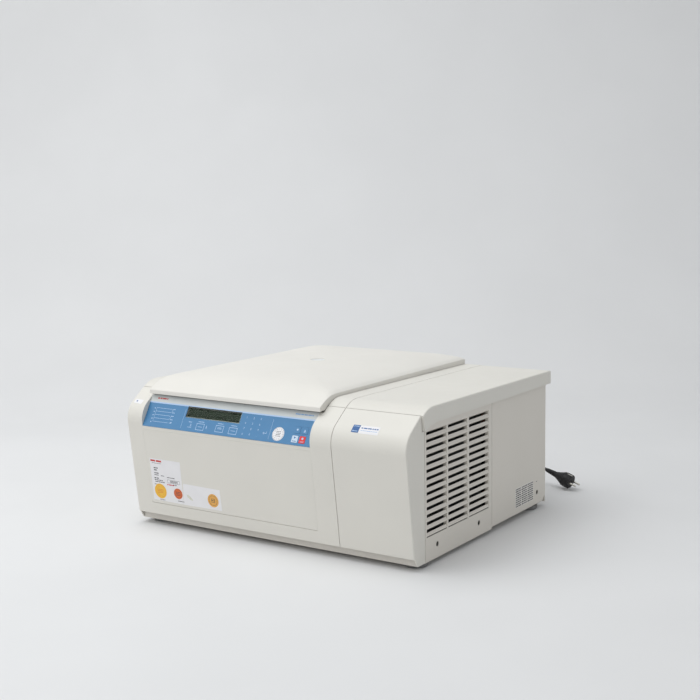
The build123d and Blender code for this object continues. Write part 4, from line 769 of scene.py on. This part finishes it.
# the framed keys under the display, and the arrows between them
for x, s in ((-161.9, 13.5), (-107.9, 14.6), (-70.9, 13.7)):
    white.frame(x, s, 22, 15, 0.9)
    white.bar(x, s, 12, 0.9)
    white.words(x, s + 11.5, 16, 1.3, x)
white.stroke([(-112.5, 17), (-103.3, 17)], 1.0)
for x in (-143.9, -188.5):
    white.stroke([(x - 1.5, 11.5), (x, 18), (x + 1.5, 11.5)], 0.8)
white.words(-192, 22, 9, 1.4, 5.0)
white.stroke([(-196, 10), (-186, 10)], 0.8)
# the number pad, column by column, and the enter arrow
for x, columns in ((-43.9, "147±"), (-24.9, "2580"), (-5.9, "369.")):
    for s, digit in zip((47, 34.7, 22.6, 10.7), columns):
        white.text(digit, x, s, 6.4)
white.stroke([(17.5, 21.5), (17.5, 17.8), (8.5, 17.8)], 0.9)
white.stroke([(11, 20), (8.5, 17.8), (11, 15.6)], 0.9)
for x in (93.65, 112.55):
    white.words(x, 27.6, 11, 1.4, x)
white.words(100, 68.5, 1, 0.1, 1)
white.piece("panel_white_print", WHITE_INK, "blue_membrane")

# painted shade: black bars along the upper and left edge of the display's window, standing in for the shadow
# of its recess
shade = Film(on_panel, 1.0, 1.05)
shade.bar(-135.1, 56.0, 150, 2.0).bar(-209.3, 43.5, 2.0, 23)
shade.piece("display_shade", PAINTED_SHADE_BLACK, "lcd_glass")

title = Film(on_panel, *PRINT)
title.words(100, 67.5, 46, 2.4, 8)
title.piece("panel_title_bars", PALE_BLUE_INK, "blue_membrane")
Film(on_panel, *PRINT).words(-290, 68, 30, 3.2, 4).piece("panel_title_red", RED_INK, "blue_membrane")

BADGE_X, BADGE_S = 48.15, 19.8
badge = Film(on_panel, 1.2, 1.4)
badge.disc(BADGE_X, BADGE_S, 15, 56)
badge.piece("program_sticker", PAPER, "blue_membrane")
legend = Film(on_panel, 1.4, 1.43)
legend.ring(BADGE_X, BADGE_S, 14, 0.4, 56)
NUMBERS_RADIUS = 10.6
for i in range(12):
    turn = math.radians(90 - 30 * i)
    x, s = BADGE_X + NUMBERS_RADIUS * math.cos(turn), BADGE_S + NUMBERS_RADIUS * math.sin(turn)
    legend.text(str((i % 9) + 1), x, s, 3.4)
for row in range(4):
    legend.words(BADGE_X, 25 - row * 3.3, 12, 1.2, row + 20)
legend.piece("program_sticker_numbers", DARK_INK, "blue_membrane")

start_mark = Film(on_panel, *KEY_PRINT)
start_mark.turned(92.65, 16.5, [(-2.2, -2.4), (2.6, 0), (-2.2, 2.4)]).words(92.65, 9, 10, 1.5, 3)
start_mark.piece("start_key_mark", BLUE_INK, "start_foil", "key_start")
stop_mark = Film(on_panel, *KEY_PRINT)
stop_mark.disc(111.65, 16, 2.5, 24).words(111.65, 9, 9, 1.4, 6)
stop_mark.piece("stop_key_mark", WHITE_INK, "stop_foil", "key_stop")
pulse_mark = Film(on_panel, *KEY_PRINT)
pulse_mark.disc(93.65, 34, 2.3, 24)
pulse_mark.piece("pulse_key_mark", WHITE_INK, "blue_membrane", "key_pulse")
lid_mark = Film(on_panel, *KEY_PRINT)
lid_mark.turned(112.55, 33.4, [(-2.6, -2), (2.6, -2), (0, 2.6)]).bar(112.55, 29.8, 5.2, 0.9)
lid_mark.piece("lid_key_mark", WHITE_INK, "blue_membrane", "key_lid")

# ---------------------------------------------------------------- stickers
TILT = -0.6                            # degrees that the big label leans
INK = (0.15, 0.18)                     # lower and upper face of print on a label
INK_ON_DISC = (0.3, 0.33)              # and of print on a round sticker, which is thicker
labels = Film(on_front, 0.0, 0.15)
labels.poly([(-316.1, 130.2), (-317.3, 31.5), (-229.1, 30.2), (-226.6, 129.6)])
labels.poly([(-224.4, 80.2), (-228.9, 30.1), (-119.3, 30.8), (-120.1, 78.6)])
labels.piece("front_labels", PAPER, "cream_plastic")
marks = Film(on_front, *INK)
for x, s, width, tall, seed in (
    (-297, 119.5, 28, 1.0, 1), (-301, 108, 12, 2.4, 2), (-302, 103, 10, 2.2, 16), (-300, 96, 14, 2.4, 3),
    (-301, 91.5, 12, 2, 4), (-283, 91, 10, 1.5, 5), (-301, 84, 14, 2.4, 6), (-295, 79.5, 26, 2, 7),
    (-293, 75.5, 28, 1.7, 8), (-259, 89, 22, 1.7, 9), (-298, 69, 24, 1.6, 11), (-249, 73, 12, 1.6, 12),
    (-236, 36.5, 18, 1.5, 14), (-292, 33.5, 16, 1.2, 15),
):
    marks.words(x, s, width, tall, seed, TILT)
marks.frame(-252, 80, 36, 8, 0.6, TILT)
for i in range(15):
    marks.bar(-262 + i * 1.5, 80, 0.5 + (i * 7 % 3) * 0.25, 5, TILT)
marks.piece("front_label_print", DARK_INK, "cream_plastic")
red = Film(on_front, *INK)
red.words(-298, 125, 32, 4.2, 61, TILT).words(-262, 72, 20, 2.6, 62, TILT)
red.piece("front_label_red_print", RED_INK, "cream_plastic")
YELLOW_AT, ORANGE_AT, GOLD_AT = (-294.2, 53.9), (-242.2, 53.9), (-141.7, 51.6)
for name, ink, place, radius in (
    ("round_sticker_yellow", YELLOW_INK, YELLOW_AT, 17.5),
    ("round_sticker_orange", ORANGE_INK, ORANGE_AT, 12.5),
    ("round_sticker_gold", GOLD_INK, GOLD_AT, 15.2),
):
    Film(on_front, 0.15, 0.3).disc(*place, radius, 56).piece(name, ink, "cream_plastic")
rings = Film(on_front, *INK_ON_DISC)
rings.ring(*YELLOW_AT, 14.8, 0.5, 56).ring(*YELLOW_AT, 10.5, 0.35, 56)
for row in range(3):
    rings.words(YELLOW_AT[0], 57.5 - row * 3.6, 16, 1.4, row + 30)
rings.piece("yellow_sticker_print", ORANGE_INK, "cream_plastic")
dark_rings = Film(on_front, *INK_ON_DISC)
dark_rings.ring(*ORANGE_AT, 10.4, 0.5, 48)
for row in range(3):
    dark_rings.words(ORANGE_AT[0], 57.3 - row * 3.4, 13, 1.4, row + 40)
dark_rings.ring(*GOLD_AT, 11.5, 0.6, 48).frame(*GOLD_AT, 9.5, 8.5, 0.9).words(*GOLD_AT, 7, 1.6, 47)
dark_rings.piece("sticker_print_dark", DARK_INK, "cream_plastic")
smudge = Film(on_front, 0.15, 0.17)
smudge.turned(-208.6, 49.8, [(-9, 5), (-4, 6), (3, 1), (9, -5), (7, -7), (0, -5), (-7, 0)])
smudge.piece("label_smudge", OLIVE_INK, "cream_plastic")

cheek = Film(on_brow, 0.05, 0.2)
cheek.rounded(-350, 27.5, 24, 12, 3, -4)
cheek.piece("cheek_sticker", PAPER, "cream_plastic")
Film(on_brow, 0.2, 0.23).disc(-354.5, 27.8, 2.0, 20).piece("cheek_sticker_dot", BLUE_INK, "cream_plastic")


def strips(film, x0, x1, s0, s1, count=6):
    """A sticker that follows the rounded slope."""
    for i in range(count):
        a, b = s0 + (s1 - s0) * i / count, s0 + (s1 - s0) * (i + 1) / count
        film.poly([(x0, a), (x1, a), (x1, b), (x0, b)])


dealer = Film(on_brow, 0.05, 0.2)
strips(dealer, 247, 293, 13, 32)
dealer.piece("dealer_sticker_white", PAPER, "cream_plastic")
dealer_blue = Film(on_brow, 0.05, 0.21)
strips(dealer_blue, 230, 246.5, 14, 32)
dealer_blue.piece("dealer_sticker_blue", BLUE_INK, "cream_plastic")
DEALER_PRINT = (0.22, 0.25)
dealer_print = Film(on_brow, *DEALER_PRINT)
dealer_print.words(270.5, 25.5, 40, 2.6, 51)
dealer_print.piece("dealer_sticker_print", BLUE_INK, "cream_plastic")
dealer_line = Film(on_brow, *DEALER_PRINT)
dealer_line.words(270.5, 19.5, 39, 1.0, 52)
dealer_line.piece("dealer_sticker_line", PALE_BLUE_INK, "cream_plastic")
dealer_square = Film(on_brow, *DEALER_PRINT)
dealer_square.frame(238.2, 23, 12, 13, 1.3).stroke([(233.5, 18.5), (243, 27.5)], 1.3)
dealer_square.piece("dealer_sticker_square", WHITE_INK, "cream_plastic")

# ---------------------------------------------------------------- right side
# painted shade: black strips on the floor of the lowest, shallow slots, which lie in shadow
lowest_slot = Film(on_side, -1.79, -1.7)
for start, end in ((-247.2, -165.2), (-159.7, -77.3), (-70.3, 18.1)):
    lowest_slot.bar((start + end) / 2, 77.8, end - start, 2.3)
lowest_slot.piece("lowest_slot_painted_shade", PAINTED_SHADE_BLACK, "cream_sheet")

rating = Film(on_side, 0.0, 0.12)
rating.rounded(194.7, 67, 93.5, 46, 1.5)
rating.piece("rating_label", FOIL, "cream_sheet")
rating_print = Film(on_side, 0.12, 0.15)
for row in range(9):
    for column in range(3):
        rating_print.words(164.5 + column * 30.5, 86.5 - row * 4.9, 28, 2.7, row * 3.1 + column * 7.7)
rating_print.words(259, 84, 6, 1.4, 60)
rating_print.piece("rating_label_print", DARK_INK, "cream_sheet")

# ---------------------------------------------------------------- stage and light
floor_paint = Material("floor_paint", 0.7).mottled((226, 226, 226), 0.5, 0.012).uneven(0.62, 0.8, 0.2)
away = Vector((forward.x, forward.y, 0)).normalized()
aside = Vector((away.y, -away.x, 0))
SWEEP = 1.6                            # radius of the turn from floor to wall
TURN_FROM = 1.2                        # metres behind the object's middle where the turn starts
FLOOR_REACH, WALL_HEIGHT = 12.0, 9.0
profile = [(-FLOOR_REACH, 0.0)]
for step in range(25):
    turn = math.radians(90 * step / 24)
    profile.append((TURN_FROM + SWEEP * math.sin(turn), SWEEP - SWEEP * math.cos(turn)))
profile.append((TURN_FROM + SWEEP, WALL_HEIGHT))
bm = bmesh.new()
edges = []
for side in (-FLOOR_REACH, FLOOR_REACH):
    edges.append([bm.verts.new(away * reach + aside * side + Vector((0, 0, z))) for reach, z in profile])
for i in range(len(profile) - 1):
    bm.faces.new((edges[0][i], edges[0][i + 1], edges[1][i + 1], edges[1][i]))
sweep_mesh = bpy.data.meshes.new("studio_sweep")
bm.to_mesh(sweep_mesh)
bm.free()
sweep_mesh.shade_smooth()
sweep = bpy.data.objects.new("studio_sweep", sweep_mesh)
SCENE.collection.objects.link(sweep)
sweep_mesh.materials.append(floor_paint.data)

world = bpy.data.worlds.new("studio")
SCENE.world = world
world.use_nodes = True
world.node_tree.nodes["Background"].inputs["Color"].default_value = (0.96, 0.98, 1.0, 1)
world.node_tree.nodes["Background"].inputs["Strength"].default_value = 0.57


def area_light(name, place, aim, size, power, colour):
    """A square lamp of some metres and watts, turned towards a place."""
    data = bpy.data.lights.new(name, "AREA")
    data.shape = "SQUARE"
    data.size = size
    data.energy = power
    data.color = colour
    lamp = bpy.data.objects.new(name, data)
    lamp.location = place
    lamp.rotation_euler = (Vector(aim) - Vector(place)).to_track_quat("-Z", "Y").to_euler()
    SCENE.collection.objects.link(lamp)


area_light("overhead", (-0.8, -0.9, 3.2), (0, 0, 0.2), 3.0, 70, (0.965, 0.985, 1.0))
area_light("front_left", (-2.6, -2.6, 1.8), (0, 0, 0.2), 2.0, 17, (1.0, 0.975, 0.94))
SCENE.view_settings.view_transform = "Standard"
